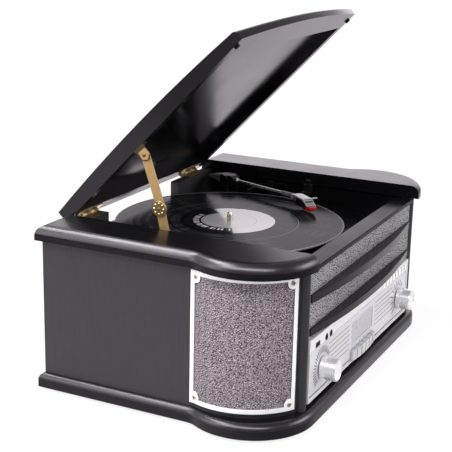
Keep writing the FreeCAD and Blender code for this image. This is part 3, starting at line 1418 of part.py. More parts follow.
def all_parts():
    """Every node's name with its solid or group of solids."""
    makers = [
        base_board, rubber_feet, side_panels, speaker_baffles,
        grille_frames, grille_cloths, speakers, top_boards,
        well_walls, back_panel, front_rail, front_panel, front_cloth, trim_bars, faceplate, display_window,
        usb_socket, audio_jacks, control_board, lid_panel, lid_rails, lid_bumpers,
        hinge_frame_leaves, hinge_lid_leaves, stay_upper_arm, stay_lower_arm, stay_lid_bracket,
        stay_wall_bracket, deck_plate, platter_bearing, platter, platter_mat, spindle, vinyl_record,
        record_label, drive_belt, drive_motor, motor_pulley, arm_base, arm_gimbal, arm_pivot_block, arm_tube,
        headshell, cartridge, arm_rest, arm_clip, cue_lever, speed_selector, rca_sockets,
        mains_inlet, transformer, amplifier_board,
    ]
    parts = {maker.__name__: maker() for maker in makers}
    parts["volume_knob"] = knob(-KNOB_X)
    parts["tuning_knob"] = knob(KNOB_X)
    for index in range(BUTTON_COUNT):
        parts["button_%d" % (index + 1)] = button(index)
    return parts


def main():
    os.makedirs("parts", exist_ok=True)
    for name, shape in all_parts().items():
        shape.exportStep("parts/%s.step" % name)


main()
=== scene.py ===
import json
import math

import bpy
from bpy.props import FloatProperty, FloatVectorProperty, IntProperty, PointerProperty
from mathutils import Matrix, Vector


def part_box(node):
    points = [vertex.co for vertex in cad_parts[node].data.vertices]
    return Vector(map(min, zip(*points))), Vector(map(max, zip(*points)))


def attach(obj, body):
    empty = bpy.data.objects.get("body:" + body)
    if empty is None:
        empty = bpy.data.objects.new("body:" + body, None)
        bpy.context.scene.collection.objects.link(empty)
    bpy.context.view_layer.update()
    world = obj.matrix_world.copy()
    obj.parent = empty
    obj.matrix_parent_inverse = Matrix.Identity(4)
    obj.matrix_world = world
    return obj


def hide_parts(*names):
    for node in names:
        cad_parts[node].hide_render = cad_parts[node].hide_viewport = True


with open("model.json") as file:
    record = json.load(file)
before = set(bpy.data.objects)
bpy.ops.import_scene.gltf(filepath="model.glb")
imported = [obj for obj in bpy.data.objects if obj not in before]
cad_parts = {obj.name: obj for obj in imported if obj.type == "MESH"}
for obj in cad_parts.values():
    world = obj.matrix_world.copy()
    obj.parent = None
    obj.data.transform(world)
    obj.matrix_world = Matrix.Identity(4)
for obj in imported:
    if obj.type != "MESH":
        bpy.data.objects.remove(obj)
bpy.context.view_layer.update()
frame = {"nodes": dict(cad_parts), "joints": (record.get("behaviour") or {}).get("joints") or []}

bl_info = {
    "name": "Retro Record Player",
    "version": (1, 0, 0),
    "blender": (4, 5, 0),
    "location": "View3D > Sidebar > Record Player",
    "description": "Dresses the record player's frame with paint, cloth, brass, print and small fittings",
    "category": "Object",
}

MM = 0.001
WELD = 1e-6  # distance within which doubled points of a drawn mesh merge
CAD_WELD = 2e-6  # the same for a CAD node's mesh
CAD_FLAT = math.radians(0.6)  # angle under which a CAD node's neighbouring faces become one
LEVEL = 1e-5  # distance under which two heights count as the same
FULL_TURN = 2 * math.pi
SIDES = (-1, 1)
KEYS = range(1, 7)
X_AXIS, Y_AXIS, Z_AXIS = (Vector(axis) for axis in ((1, 0, 0), (0, 1, 0), (0, 0, 1)))
NODES = frame["nodes"]
JOINTS = {joint["name"]: joint for joint in frame["joints"]}


# Places read from the frame

def middle(name):
    """Middle of a CAD node's box."""
    low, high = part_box(name)
    return (low + high) / 2


def pivot(joint):
    return Vector(JOINTS[joint]["pos_m"])


def around(place, axis, angle):
    """Turn about an axis through a place."""
    there = Matrix.Translation(place)
    return there @ Matrix.Rotation(angle, 4, axis) @ there.inverted()


RECORD_MIDDLE = middle("vinyl_record")
PLATE_LOW, PLATE_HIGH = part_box("faceplate")
LID_HINGE = pivot("lid_hinge")
LID_OPEN = math.radians(JOINTS["lid_hinge"]["range_deg"][1])
LIFT_AXIS = Vector(JOINTS["arm_lift"]["axis"])
ARM_TURN = Matrix.Rotation(math.atan2(LIFT_AXIS.y, LIFT_AXIS.x), 4, "Z")
ARM_PLACE = Matrix.Translation(pivot("arm_swing")) @ ARM_TURN


# Settings

def length(name, words, default):
    return FloatProperty(name=name, description=words, default=default, unit="LENGTH", precision=4)


def turn(name, words, degrees):
    return FloatProperty(name=name, description=words, default=math.radians(degrees), unit="ROTATION")


def colour(name, words, default):
    return FloatVectorProperty(
        name=name, description=words, default=default, subtype="COLOR", size=3, min=0, max=1)


def share(name, words, default):
    return FloatProperty(name=name, description=words, default=default, min=0, max=1, subtype="FACTOR")


def count(name, words, default):
    return IntProperty(name=name, description=words, default=default)


def vector(name, words, default, unit="LENGTH"):
    return FloatVectorProperty(name=name, description=words, default=default, size=len(default), unit=unit)


class CabinetFinish(bpy.types.PropertyGroup):
    paint: colour("Paint", "Black paint on the boards and the lid", (0.0040, 0.0037, 0.0046))
    paint_worn: colour("Paint grain", "Paint where the grain shows", (0.0060, 0.0056, 0.0068))
    paint_gloss: share("Paint roughness", "Roughness of the satin paint", 0.25)
    wall: colour("Wall paint", "Paint on the upright walls", (0.0215, 0.0208, 0.0225))
    wall_worn: colour("Wall grain", "Wall paint where the grain shows", (0.0150, 0.0146, 0.0160))
    wall_gloss: share("Wall roughness", "Roughness of the wall paint", 0.44)
    # Painted shade on one side of each knot of the cloth.
    cloth_knot_shade: colour("Cloth dark", "Dark side of the cloth's knots", (0.030, 0.026, 0.030))
    cloth_mid: colour("Cloth mid", "Main tone of the grille cloth", (0.225, 0.186, 0.208))
    cloth_front: colour("Front cloth mid", "Main tone of the front cloth", (0.30, 0.285, 0.30))
    # Painted highlight on the other side of each knot of the cloth.
    cloth_knot_highlight: colour("Cloth light", "Bright side of the cloth's knots", (0.57, 0.53, 0.56))
    cloth_cell: length("Cloth cell", "Size of one knot of the grille cloth", 2.1 * MM)
    weave_cell: length("Weave cell", "Size of one knot of the front cloth", 2.2 * MM)
    board_edge: length("Board edge", "Radius of the rounded upper edges of the boards", 9 * MM)
    soft_edge: length("Soft edge", "Width of the softened edges elsewhere", 1.0 * MM)


class LidSizes(bpy.types.PropertyGroup):
    side_rim: length("Side rim", "Width of the lid's rim at each side of its tray", 12 * MM)
    rear_rim: length("Rear rim", "Width of the lid's rim by the hinges", 18 * MM)
    front_rim: length("Front rim", "Width of the lid's rim at the front", 27 * MM)
    front_bow: length("Front bow", "Bow of the lid's front edge", 11 * MM)
    hinge_place: length("Hinge place", "Distance of each hinge from the middle", 135 * MM)
    hinge_room: length("Hinge room", "Length cut out of the rim for each hinge's barrel", 47 * MM)
    tray_sink: length("Tray sink", "How far the tray is cut into the lid's panel", 4 * MM)
    barrel_room: length("Barrel room", "Radius cut out of the rim for each hinge's barrel", 3.1 * MM)
    bead_ring: length("Bead ring", "Radius of the ring of beads on the stay's elbow", 6.4 * MM)
    bead_radius: length("Bead radius", "Radius of one bead on the stay's elbow", 1.45 * MM)
    bead_count: count("Beads", "Beads round the stay's elbow", 8)
    rivet_radius: length("Rivet radius", "Radius of the stay's rivets", 2.4 * MM)
    pad_height: share("Pad height", "Share of its full height that a pad under the lid keeps", 0.3)
    ring_radius: length("Ring radius", "Radius of the dark ring under the elbow's beads", 9.2 * MM)


class MetalFinish(bpy.types.PropertyGroup):
    silver: colour("Frame silver", "Bright frame round the grilles", (0.88, 0.87, 0.89))
    plate: colour("Plate silver", "Control plate", (0.72, 0.71, 0.75))
    knob: colour("Knob silver", "Turned knobs", (0.90, 0.90, 0.92))
    brass: colour("Brass", "Lid stay", (0.41, 0.27, 0.115))
    brass_bright: colour("Polished brass", "Hinge leaves and beads", (0.93, 0.78, 0.43))
    # Darker brass for the rivets, the frame leaves and the elbow's ring.
    brass_dark_tone: colour("Dark brass", "Rivets and frame leaves", (0.19, 0.13, 0.065))
    steel: colour("Steel", "Tube of the arm", (0.62, 0.62, 0.64))
    screw: colour("Screw", "Grille screws", (0.62, 0.57, 0.46))
    strip: colour("Strip white", "Plain strip along the plate's top", (0.86, 0.85, 0.87))
    screw_radius: length("Screw radius", "Radius of a grille screw's head", 3.1 * MM)
    wall_radius: length("Wall radius", "Radius of the rounded corner walls", 85 * MM)
    hollow_radius: length("Hollow radius", "Radius of the hollow beside each corner wall", 27 * MM)
    frame_rise: length("Frame rise", "Height of the grille frame over the wall", 2.2 * MM)
    lobe_inset: length("Lobe inset", "Distance of a screw from the frame's edges", 7.5 * MM)
    frame_end: turn("Frame end", "Angle at which the grille frame ends near the front", 62.5)


class PlateSizes(bpy.types.PropertyGroup):
    field_drop: length("Field drop", "How far the plate's field lies behind its rim", 1.0 * MM)
    print_rise: length("Print rise", "Height of the printed marks", 0.14 * MM)
    line: length("Line", "Width of a printed line", 0.7 * MM)
    tick_line: length("Tick line", "Width of a knob's ticks", 1.1 * MM)
    strip_low: length("Strip low", "Height at which the plain strip starts", 89.8 * MM)
    rib_low: length("Rib low", "Lower end of the ribs on the strip", 91.6 * MM)
    rib_high: length("Rib high", "Upper end of the ribs on the strip", 101 * MM)
    rim: length("Rim", "Width of the plate's rim", 3 * MM)
    cap_edge: length("Cap edge", "Width of a knob's turned edge round its flat cap", 3.2 * MM)
    rib_width: length("Rib width", "Width of one rib", 9.4 * MM)
    rib_pitch: length("Rib pitch", "Distance from rib to rib", 12.8 * MM)
    rib_count: count("Ribs", "Ribs on the strip", 8)
    key_share: share("Key width", "Share of its place that a key fills", 0.86)
    dial_lines: count("Dial lines", "Lines of each dial scale", 6)
    dial_low: length("Dial low", "Height of the lowest dial line", 50 * MM)
    dial_high: length("Dial high", "Height of the highest dial line", 81 * MM)
    dial_near: length("Dial near", "Distance of the dial scales from the middle", 47 * MM)
    dial_far: length("Dial far", "Outer end of the dial scales", 117 * MM)
    tick_start: length("Tick start", "Inner radius of a knob's ticks", 18.2 * MM)
    tick_end: length("Tick end", "Outer radius of a knob's ticks", 26 * MM)
    ticks: count("Ticks", "Ticks round the volume knob; the tuning knob has half as many", 29)
    bezel: length("Bezel", "Width of the display's bright bezel", 2.0 * MM)
    knob_ribs: count("Knob ribs", "Fine ribs round a knob", 48)


class DeckFinish(bpy.types.PropertyGroup):
    vinyl: colour("Vinyl", "Record", (0.0052, 0.0050, 0.0058))
    # Painted sheen: lighter record colour in streaks that run across the tracks.
    vinyl_sheen_streak: colour("Vinyl streak", "Record where light runs across its tracks", (0.034, 0.033, 0.036))
    # Painted sheen: lighter record colour on bands of tracks.
    vinyl_sheen: colour("Vinyl sheen", "Record where tracks lie close", (0.020, 0.0195, 0.022))
    label: colour("Label", "Record label", (0.43, 0.395, 0.42))
    label_band: colour("Label band", "Dark outer band of the label", (0.010, 0.0095, 0.012))
    red: colour("Cartridge red", "Stylus holder", (0.52, 0.016, 0.028))


class ArmSizes(bpy.types.PropertyGroup):
    reach: length("Tube reach", "Distance from the arm's pivot to the tube's end", 131 * MM)
    offset: turn("Head offset", "Turn of the head at the tube's end", 20.0)
    block_half: length("Block half", "Half length of the pivot block", 13 * MM)
    tube_radius: length("Tube radius", "Radius of the arm's tube", 2.2 * MM)
    knee: vector("Knee", "Upper end of the head's sloped front", (-38 * MM, 5.5 * MM))
    toe: vector("Toe", "Lower end of the head's sloped front", (-52 * MM, -2 * MM))
    ribs: count("Ribs", "Ribs on the head's sloped front", 5)


class StageSettings(bpy.types.PropertyGroup):
    camera_place: vector("Camera", "Where the camera stands", (-1.31006, -0.60906, 0.5878))
    yaw: turn("Yaw", "Turn of the camera about the vertical", -63.74)
    pitch: turn("Pitch", "Downward tilt of the camera", 15.55)
    roll: turn("Roll", "Turn of the camera about its own axis", 1.19)
    lens: FloatProperty(name="Lens", description="Focal length in millimetres", default=90.56)
    shift: FloatProperty(name="Shift", description="Vertical shift of the picture", default=-0.0192)
    world: share("World light", "Level of the plain light from all sides", 0.27)
    floor_size: length("Floor", "Side of the pale floor", 3.2)
    shadow_reach: length("Shadow reach", "Distance at which the floor's shadow has faded", 0.95)
    dark_side: vector("Dark side", "Way in which reflections see a dark room", (-0.35, -0.94, 0), "NONE")
    dark_level: share("Dark level", "Brightness of the dark room in reflections", 0.3)
    room_tint: colour("Room tint", "Tint of the room in reflections", (1.0, 0.93, 0.99))
    floor_glow: share("Floor glow", "Share of plain white in the floor near the player", 0.8)


# Small modelling helpers

def mode(kind):
    bpy.ops.object.mode_set(mode=kind)


def deselect():
    active = bpy.context.view_layer.objects.active
    if active and active.mode != "OBJECT":
        mode("OBJECT")
    bpy.ops.object.select_all(action="DESELECT")


def activate(obj):
    deselect()
    obj.select_set(True)
    bpy.context.view_layer.objects.active = obj


def named(obj, name):
    obj.name = obj.data.name = name
    return obj


def settled(obj, name):
    """Puts an object's place into its mesh and names it."""
    activate(obj)
    bpy.ops.object.transform_apply(location=True, rotation=True, scale=True)
    return named(obj, name)


def linked(obj):
    bpy.context.scene.collection.objects.link(obj)
    return obj


def drawn(name, points, edges, faces):
    """Object whose mesh starts from a few drawn points, left in edit mode."""
    mesh = bpy.data.meshes.new(name)
    mesh.from_pydata(points, edges, faces)
    obj = linked(bpy.data.objects.new(name, mesh))
    activate(obj)
    mode("EDIT")
    bpy.ops.mesh.select_all(action="SELECT")
    return obj


def closed_up():
    """Merges the doubled points of the mesh in edit mode and turns its faces outward."""
    bpy.ops.mesh.select_all(action="SELECT")
    bpy.ops.mesh.remove_doubles(threshold=WELD)
    bpy.ops.mesh.normals_make_consistent(inside=False)
    mode("OBJECT")


def block(name, low, high):
    """Box between two corners."""
    deselect()
    low, high = Vector(low), Vector(high)
    bpy.ops.mesh.primitive_cube_add(size=1, location=(low + high) / 2)
    obj = bpy.context.object
    obj.scale = high - low
    return settled(obj, name)


def rod(name, start, end, radius, sides=32):
    """Round bar between two points."""
    deselect()
    start, end = Vector(start), Vector(end)
    lean = (end - start).to_track_quat("Z", "Y").to_euler()
    bpy.ops.mesh.primitive_cylinder_add(
        vertices=sides, radius=radius, depth=(end - start).length, location=(start + end) / 2, rotation=lean)
    return settled(bpy.context.object, name)


def prism(name, outline, along):
    """Flat outline pulled along a vector."""
    obj = drawn(name, outline, [], [tuple(range(len(outline)))])
    bpy.ops.mesh.extrude_region_move(TRANSFORM_OT_translate={"value": along})
    closed_up()
    return obj


def seat(place, axis):
    """Matrix that stands a piece made at the origin on a place, its upright along an axis."""
    return Matrix.Translation(place) @ Vector(axis).to_track_quat("Z", "Y").to_matrix().to_4x4()


def lathe(name, profile, where=Matrix.Identity(4), steps=64):
    """Body spun from radius and height pairs in millimetres, then moved by a matrix."""
    points = [(radius * MM, 0, height * MM) for radius, height in profile]
    obj = drawn(name, points, [(i, i + 1) for i in range(len(points) - 1)], [])
    bpy.ops.mesh.spin(steps=steps, angle=FULL_TURN, center=(0, 0, 0), axis=(0, 0, 1))
    closed_up()
    return smoothed(moved(obj, where))


def modified(obj, kind, **values):
    """Adds a modifier to a piece and applies it."""
    activate(obj)
    modifier = obj.modifiers.new(kind.lower(), kind)
    for key, value in values.items():
        setattr(modifier, key, value)
    bpy.ops.object.modifier_apply(modifier=modifier.name)
    return obj


def softened(obj, width, segments=2, angle=35):
    """Rounds the sharp edges of a piece."""
    return smoothed(modified(
        obj, "BEVEL", width=width, segments=segments, limit_method="ANGLE",
        angle_limit=math.radians(angle), use_clamp_overlap=True))


def smoothed(obj, angle=35):
    """Smooths the rounded edges and keeps the broad faces flat in the light."""
    activate(obj)
    bpy.ops.object.shade_smooth_by_angle(angle=math.radians(angle))
    return modified(obj, "WEIGHTED_NORMAL", keep_sharp=True)


def cut(obj, other):
    """Cuts a piece with another, which is used up."""
    modified(obj, "BOOLEAN", operation="DIFFERENCE", solver="EXACT", object=other)
    bpy.data.objects.remove(other)
    return obj


def unpicked(obj, kind):
    """Sets edit mode to pick edges or faces, with nothing picked, and leaves it."""
    activate(obj)
    mode("EDIT")
    bpy.ops.mesh.select_mode(type=kind)
    bpy.ops.mesh.select_all(action="DESELECT")
    mode("OBJECT")


def rounded_top(obj, radius):
    """Rounds the edges round a piece's upper faces with a wide radius."""
    upright, segments = 0.5, 8
    top = max(vertex.co.z for vertex in obj.data.vertices)
    sides = {}
    for face in obj.data.polygons:
        for pair in face.edge_keys:
            sides.setdefault(pair, []).append(face.normal.z)
    unpicked(obj, "EDGE")
    for edge in obj.data.edges:
        level = min(obj.data.vertices[i].co.z for i in edge.vertices)
        edge.select = top - level < LEVEL and min(sides[edge.key]) < upright
    mode("EDIT")
    bpy.ops.mesh.bevel(offset=radius, segments=segments, affect="EDGES", clamp_overlap=True)
    mode("OBJECT")
    return obj


def pick_faces(obj, test):
    """Leaves edit mode's selection on the faces that pass a test."""
    unpicked(obj, "FACE")
    picked = [face for face in obj.data.polygons if test(face)]
    if not picked:
        raise RuntimeError("no face of %s to pick" % obj.name)
    for face in picked:
        face.select = True
    mode("EDIT")


def joined(name, objects):
    """Several meshes as one piece."""
    deselect()
    for obj in objects:
        obj.select_set(True)
    bpy.context.view_layer.objects.active = objects[0]
    bpy.ops.object.join()
    return settled(objects[0], name)


def merged_copy(source, name):
    """Copy of a CAD node's mesh with its loose triangles merged into clean faces."""
    obj = NODES[source].copy()
    obj.data = NODES[source].data.copy()
    for key in list(obj.keys()):
        del obj[key]
    obj.parent = None
    obj.matrix_world = Matrix.Identity(4)
    activate(linked(obj))
    bpy.ops.mesh.customdata_custom_splitnormals_clear()
    mode("EDIT")
    bpy.ops.mesh.select_all(action="SELECT")
    bpy.ops.mesh.remove_doubles(threshold=CAD_WELD)
    bpy.ops.mesh.dissolve_limited(angle_limit=CAD_FLAT)
    mode("OBJECT")
    return named(obj, name)


def turned_copy(obj, name, where):
    """Copy of a piece with its own mesh, moved by a matrix."""
    twin = linked(obj.copy())
    twin.data = obj.data.copy()
    return named(moved(twin, where), name)


def repeated(name, obj, places):
    """One piece of copies of a model at several places; the model itself is used up."""
    copies = [turned_copy(obj, name, where) for where in places]
    bpy.data.objects.remove(obj)
    return joined(name, copies)


def moved(obj, where):
    obj.data.transform(where)
    return obj


def finish(name):
    return bpy.data.materials[name]


def dressed(obj, material, body, stands_for=()):
    """Gives a finished piece its material, its body and the CAD nodes that it stands for."""
    obj.data.materials.clear()
    obj.data.materials.append(finish(material))
    for face in obj.data.polygons:
        face.material_index = 0
    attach(obj, body)
    if stands_for:
        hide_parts(*stands_for)
    return obj


def second_finish(obj, material, test):
    """Gives those faces of a dressed piece that pass a test another material."""
    obj.data.materials.append(finish(material))
    for face in obj.data.polygons:
        if test(face):
            face.material_index = 1


def rounded_node(source, name, width, material, body):
    """Copy of a CAD node with softened edges, standing for it."""
    piece = softened(merged_copy(source, name), width)
    return dressed(piece, material, body, [source])


def painted_nodes(material, *names):
    """Gives CAD nodes a material in place of their plain one."""
    for name in names:
        mesh = NODES[name].data
        mesh.materials.clear()
        mesh.materials.append(finish(material))


def dome(name, radius, height, sunk):
    """Round rivet or bead head standing on the origin, its root sunk below it."""
    bow = ((0, 1), (0.45, 0.9), (0.8, 0.6), (1, 0.12))
    profile = [(radius / MM * r, height / MM * h) for r, h in bow]
    return lathe(name, profile + [(radius / MM, -sunk / MM), (0, -sunk / MM)], steps=20)


def cross_bars(arm, thin, low, high):
    """Two bars that cross at the origin."""
    return [block("bar", (-x, -y, low), (x, y, high)) for x, y in ((arm, thin), (thin, arm))]


def cross_screw(name, radius):
    """Domed screw head with a cross recess, standing on the origin."""
    rise, root, arm, thin, bottom = (radius * part for part in (0.42, 0.3, 0.62, 0.14, 0.12))
    head = dome(name, radius, rise, root)
    for bar in cross_bars(arm, thin, bottom, radius):
        cut(head, bar)
    return smoothed(head)


def closed_box(source):
    """Box that a CAD node of the lid has with the lid closed."""
    shut = around(LID_HINGE, "X", LID_OPEN)
    points = [shut @ vertex.co for vertex in NODES[source].data.vertices]
    return [Vector([limit(p[i] for p in points) for i in range(3)]) for limit in (min, max)]


# Node helpers, and the node groups that several finishes share

def node(tree, kind, feeds=None, **settings):
    """Shader node with its settings, and with inputs linked to sockets or set to plain values."""
    made = tree.nodes.new("ShaderNode" + kind)
    for key, value in settings.items():
        setattr(made, key, value)
    for key, value in (feeds or {}).items():
        if isinstance(value, bpy.types.NodeSocket):
            tree.links.new(value, made.inputs[key])
        else:
            made.inputs[key].default_value = value
    return made


def maths(tree, operation, first, second=0.0):
    """Result of a Math node on two values, each a socket or a plain number."""
    return node(tree, "Math", {0: first, 1: second}, operation=operation).outputs["Value"]


def product(tree, first, second):
    return maths(tree, "MULTIPLY", first, second)


def wave(tree, angle, times, shift=0.0):
    """Sine of a multiple of an angle, shifted by another angle."""
    turned = node(tree, "Math", {0: angle, 1: times, 2: shift}, operation="MULTIPLY_ADD")
    return maths(tree, "SINE", turned.outputs["Value"])


def vectors(tree, operation, *feeds, result="Vector"):
    """Result of a Vector Math node on one or two vectors."""
    return node(tree, "VectorMath", dict(enumerate(feeds)), operation=operation).outputs[result]


def spread(tree, source, low, high, out_low=0.0, out_high=1.0):
    """Value stretched smoothly between two limits."""
    limits = {"From Min": low, "From Max": high, "To Min": out_low, "To Max": out_high}
    stretched = node(tree, "MapRange", {"Value": source, **limits}, interpolation_type="SMOOTHSTEP")
    return stretched.outputs["Result"]


def within(tree, source, low, high, edge):
    """One where a value lies between two limits, with soft edges."""
    rising = spread(tree, source, low - edge, low)
    return product(tree, rising, spread(tree, source, high, high + edge, 1.0, 0.0))


def own_place(tree):
    return node(tree, "TexCoord").outputs["Object"]


def new_group(name, **inputs):
    """Node group with inputs at plain values, and the sockets that carry them."""
    tree = bpy.data.node_groups.new(name, "ShaderNodeTree")
    for label, value in inputs.items():
        kind = "NodeSocketVector" if isinstance(value, tuple) else "NodeSocketFloat"
        tree.interface.new_socket(label, in_out="INPUT", socket_type=kind).default_value = value
    return tree, tree.nodes.new("NodeGroupInput").outputs


def close_group(tree, **outputs):
    """Gives a node group its outputs."""
    for label in outputs:
        tree.interface.new_socket(label, in_out="OUTPUT", socket_type="NodeSocketFloat")
    end = tree.nodes.new("NodeGroupOutput")
    for label, source in outputs.items():
        tree.links.new(source, end.inputs[label])


def grain_group():
    """Fine streaks along one direction, for wood grain and brushed metal."""
    tree, given = new_group("Grain", Stretch=(900, 900, 14))
    place = vectors(tree, "MULTIPLY", own_place(tree), given["Stretch"])
    noise = node(tree, "TexNoise", {"Vector": place, "Scale": 1.0, "Detail": 3.0, "Roughness": 0.6})
    streaks = noise.outputs["Fac"]
    close_group(tree, Mask=spread(tree, streaks, 0.42, 0.72), Height=streaks)


def smudge_group():
    """Broad soft patches that vary a finish's gloss."""
    tree, given = new_group("Smudge", Scale=18.0, Low=0.2, High=0.3)
    noise = node(tree, "TexNoise", {"Vector": own_place(tree), "Scale": given["Scale"], "Detail": 4.0})
    limits = {"From Min": 0.3, "From Max": 0.7, "To Min": given["Low"], "To Max": given["High"]}
    patches = node(tree, "MapRange", {"Value": noise.outputs["Fac"], **limits})
    close_group(tree, Value=patches.outputs["Result"])


def fleck_group():
    """Woven cloth: knots over a mid tone, each with a painted highlight on one side and painted shade on the
    other, and fine threads.
    """
    tree, given = new_group("Fleck", Scale=400.0, Stretch=(1, 1, 1))
    stretched = vectors(tree, "MULTIPLY", own_place(tree), given["Stretch"])
    scaled = node(tree, "VectorMath", {0: stretched, "Scale": given["Scale"]}, operation="SCALE")
    lit_side = scaled.outputs["Vector"]
    dark_side = vectors(tree, "ADD", lit_side, (0.22, 0.22, 0.34))
    threads = node(tree, "TexNoise", {"Vector": lit_side, "Scale": 2.6, "Detail": 2.0})
    spots = []
    # Painted shade spots on one side and painted highlight spots, slightly offset, on the other.
    for side, near in ((dark_side, 0.33), (lit_side, 0.17)):
        cells = node(tree, "TexVoronoi", {"Vector": side, "Scale": 1.0, "Randomness": 0.85})
        spots.append(spread(tree, cells.outputs["Distance"], near, near + 0.17, 1.0, 0.0))
    thread = spread(tree, threads.outputs["Fac"], 0.3, 0.7)
    close_group(tree, Dark=spots[0], Light=spots[1], Thread=thread)


def ring_group():
    """Rings about an upright axis: distance from it, angle round it and fine random bands."""
    tree, given = new_group("Rings", Centre=(0, 0, 0), Scale=400.0)
    offset = vectors(tree, "SUBTRACT", own_place(tree), given["Centre"])
    flat = vectors(tree, "MULTIPLY", offset, (1, 1, 0))
    radius = vectors(tree, "LENGTH", flat, result="Value")
    parts = node(tree, "SeparateXYZ", {"Vector": flat}).outputs
    angle = maths(tree, "ARCTAN2", parts["Y"], parts["X"])
    bands = node(
        tree, "TexNoise", noise_dimensions="1D", feeds={"W": radius, "Scale": given["Scale"], "Detail": 3.0})
    close_group(tree, Radius=radius, Angle=angle, Band=bands.outputs["Fac"])


# Finishes

def toned(base, part):
    """Colour made darker or lighter."""
    return [channel * part for channel in base]


def new_finish(name, base, roughness, **constants):
    """Material with one Principled shader whose plain values are set on its own sockets."""
    material = bpy.data.materials.new(name)
    material.use_nodes = True
    tree = material.node_tree
    shader = tree.nodes["Principled BSDF"]
    shader.inputs["Base Color"].default_value = (*base, 1)
    shader.inputs["Roughness"].default_value = roughness
    for label, value in constants.items():
        shader.inputs[label.replace("_", " ")].default_value = value
    return tree, shader


def placed_group(tree, group, **values):
    """Outputs of a shared node group placed in a material."""
    return node(tree, "Group", values, node_tree=bpy.data.node_groups[group]).outputs


def mixed_colour(tree, shader, mask, low, high):
    """Mixes two colours, or the colour of an earlier mix and another, into the shader's base."""
    if not isinstance(low, bpy.types.NodeSocket):
        low = (*low, 1)
    mix = node(tree, "Mix", {"A": low, "B": (*high, 1), "Factor": mask}, data_type="RGBA")
    tree.links.new(mix.outputs["Result"], shader.inputs["Base Color"])
    return mix.outputs["Result"]


def bumped(tree, shader, height, strength, distance):
    bump = node(tree, "Bump", {"Strength": strength, "Distance": distance, "Height": height})
    tree.links.new(bump.outputs["Normal"], shader.inputs["Normal"])


def grained_finish(name, base, worn, stretch, roughness, gloss, bump=None, **constants):
    """Finish with streaks of a second tone, patches of gloss (low, high, scale) and a fine relief."""
    tree, shader = new_finish(name, base, roughness, **constants)
    grain = placed_group(tree, "Grain", Stretch=stretch)
    mixed_colour(tree, shader, grain["Mask"], base, worn)
    low, high, scale = gloss
    smudge = placed_group(tree, "Smudge", Scale=scale, Low=low, High=high)
    tree.links.new(smudge["Value"], shader.inputs["Roughness"])
    if bump:
        bumped(tree, shader, grain["Height"], *bump)
    return tree, shader


def paint_finish(name, base, worn, roughness, sheen, stretch, depth):
    """Satin black paint over wood, with the grain just showing through."""
    grained_finish(
        name, base, worn, stretch, roughness, (roughness - 0.03, roughness + 0.04, 14.0), (0.2, depth * MM),
        Specular_IOR_Level=sheen, Specular_Tint=(0.95, 0.92, 1.0, 1.0))


def brushed_finish(name, base, stretch, roughness, metallic, contrast):
    """Metal or metal lacquer with fine brushed streaks."""
    return grained_finish(
        name, base, toned(base, contrast), stretch, roughness,
        (roughness - 0.05, roughness + 0.06, 40.0), (0.15, 0.05 * MM), Metallic=metallic)


def polished_finish(name, base, roughness, metallic):
    """Smooth metal or plastic whose gloss varies a little."""
    grained_finish(
        name, base, toned(base, 0.88), (160, 160, 160), roughness,
        (max(roughness - 0.05, 0.03), roughness + 0.08, 60.0), Metallic=metallic)


def moulded_finish(name, base, roughness, sheen):
    """Moulded plastic or rubber with a fine pebbled skin."""
    grained_finish(
        name, base, toned(base, 1.35), (1400, 1400, 1400), roughness,
        (roughness - 0.05, roughness + 0.06, 50.0), (0.2, 0.06 * MM), Specular_IOR_Level=sheen)


def plate_finish(name, base, strip, height):
    """Brushed control plate whose upper strip is white."""
    tree, shader = brushed_finish(name, base, (900, 900, 20), 0.4, 0.3, 0.93)
    parts = node(tree, "SeparateXYZ", {"Vector": own_place(tree)}).outputs
    brushed = shader.inputs["Base Color"].links[0].from_socket
    mixed_colour(tree, shader, spread(tree, parts["Z"], height, height + 0.2 * MM), brushed, strip)


def cloth_finish(name, cell, stretch, depth, mid):
    """Grille cloth: fine threads over a mid tone, with painted highlight and painted shade on its knots."""
    values = bpy.context.scene.player_cabinet
    tree, shader = new_finish(name, mid, 0.85, Specular_IOR_Level=0.2)
    fleck = placed_group(tree, "Fleck", Scale=1 / cell, Stretch=stretch)
    base = mixed_colour(tree, shader, fleck["Thread"], toned(mid, 0.72), mid)
    # Painted shade, then painted highlight, on the knots.
    base = mixed_colour(tree, shader, fleck["Dark"], base, values.cloth_knot_shade)
    mixed_colour(tree, shader, fleck["Light"], base, values.cloth_knot_highlight)
    bumped(tree, shader, fleck["Thread"], 0.5, depth * MM)


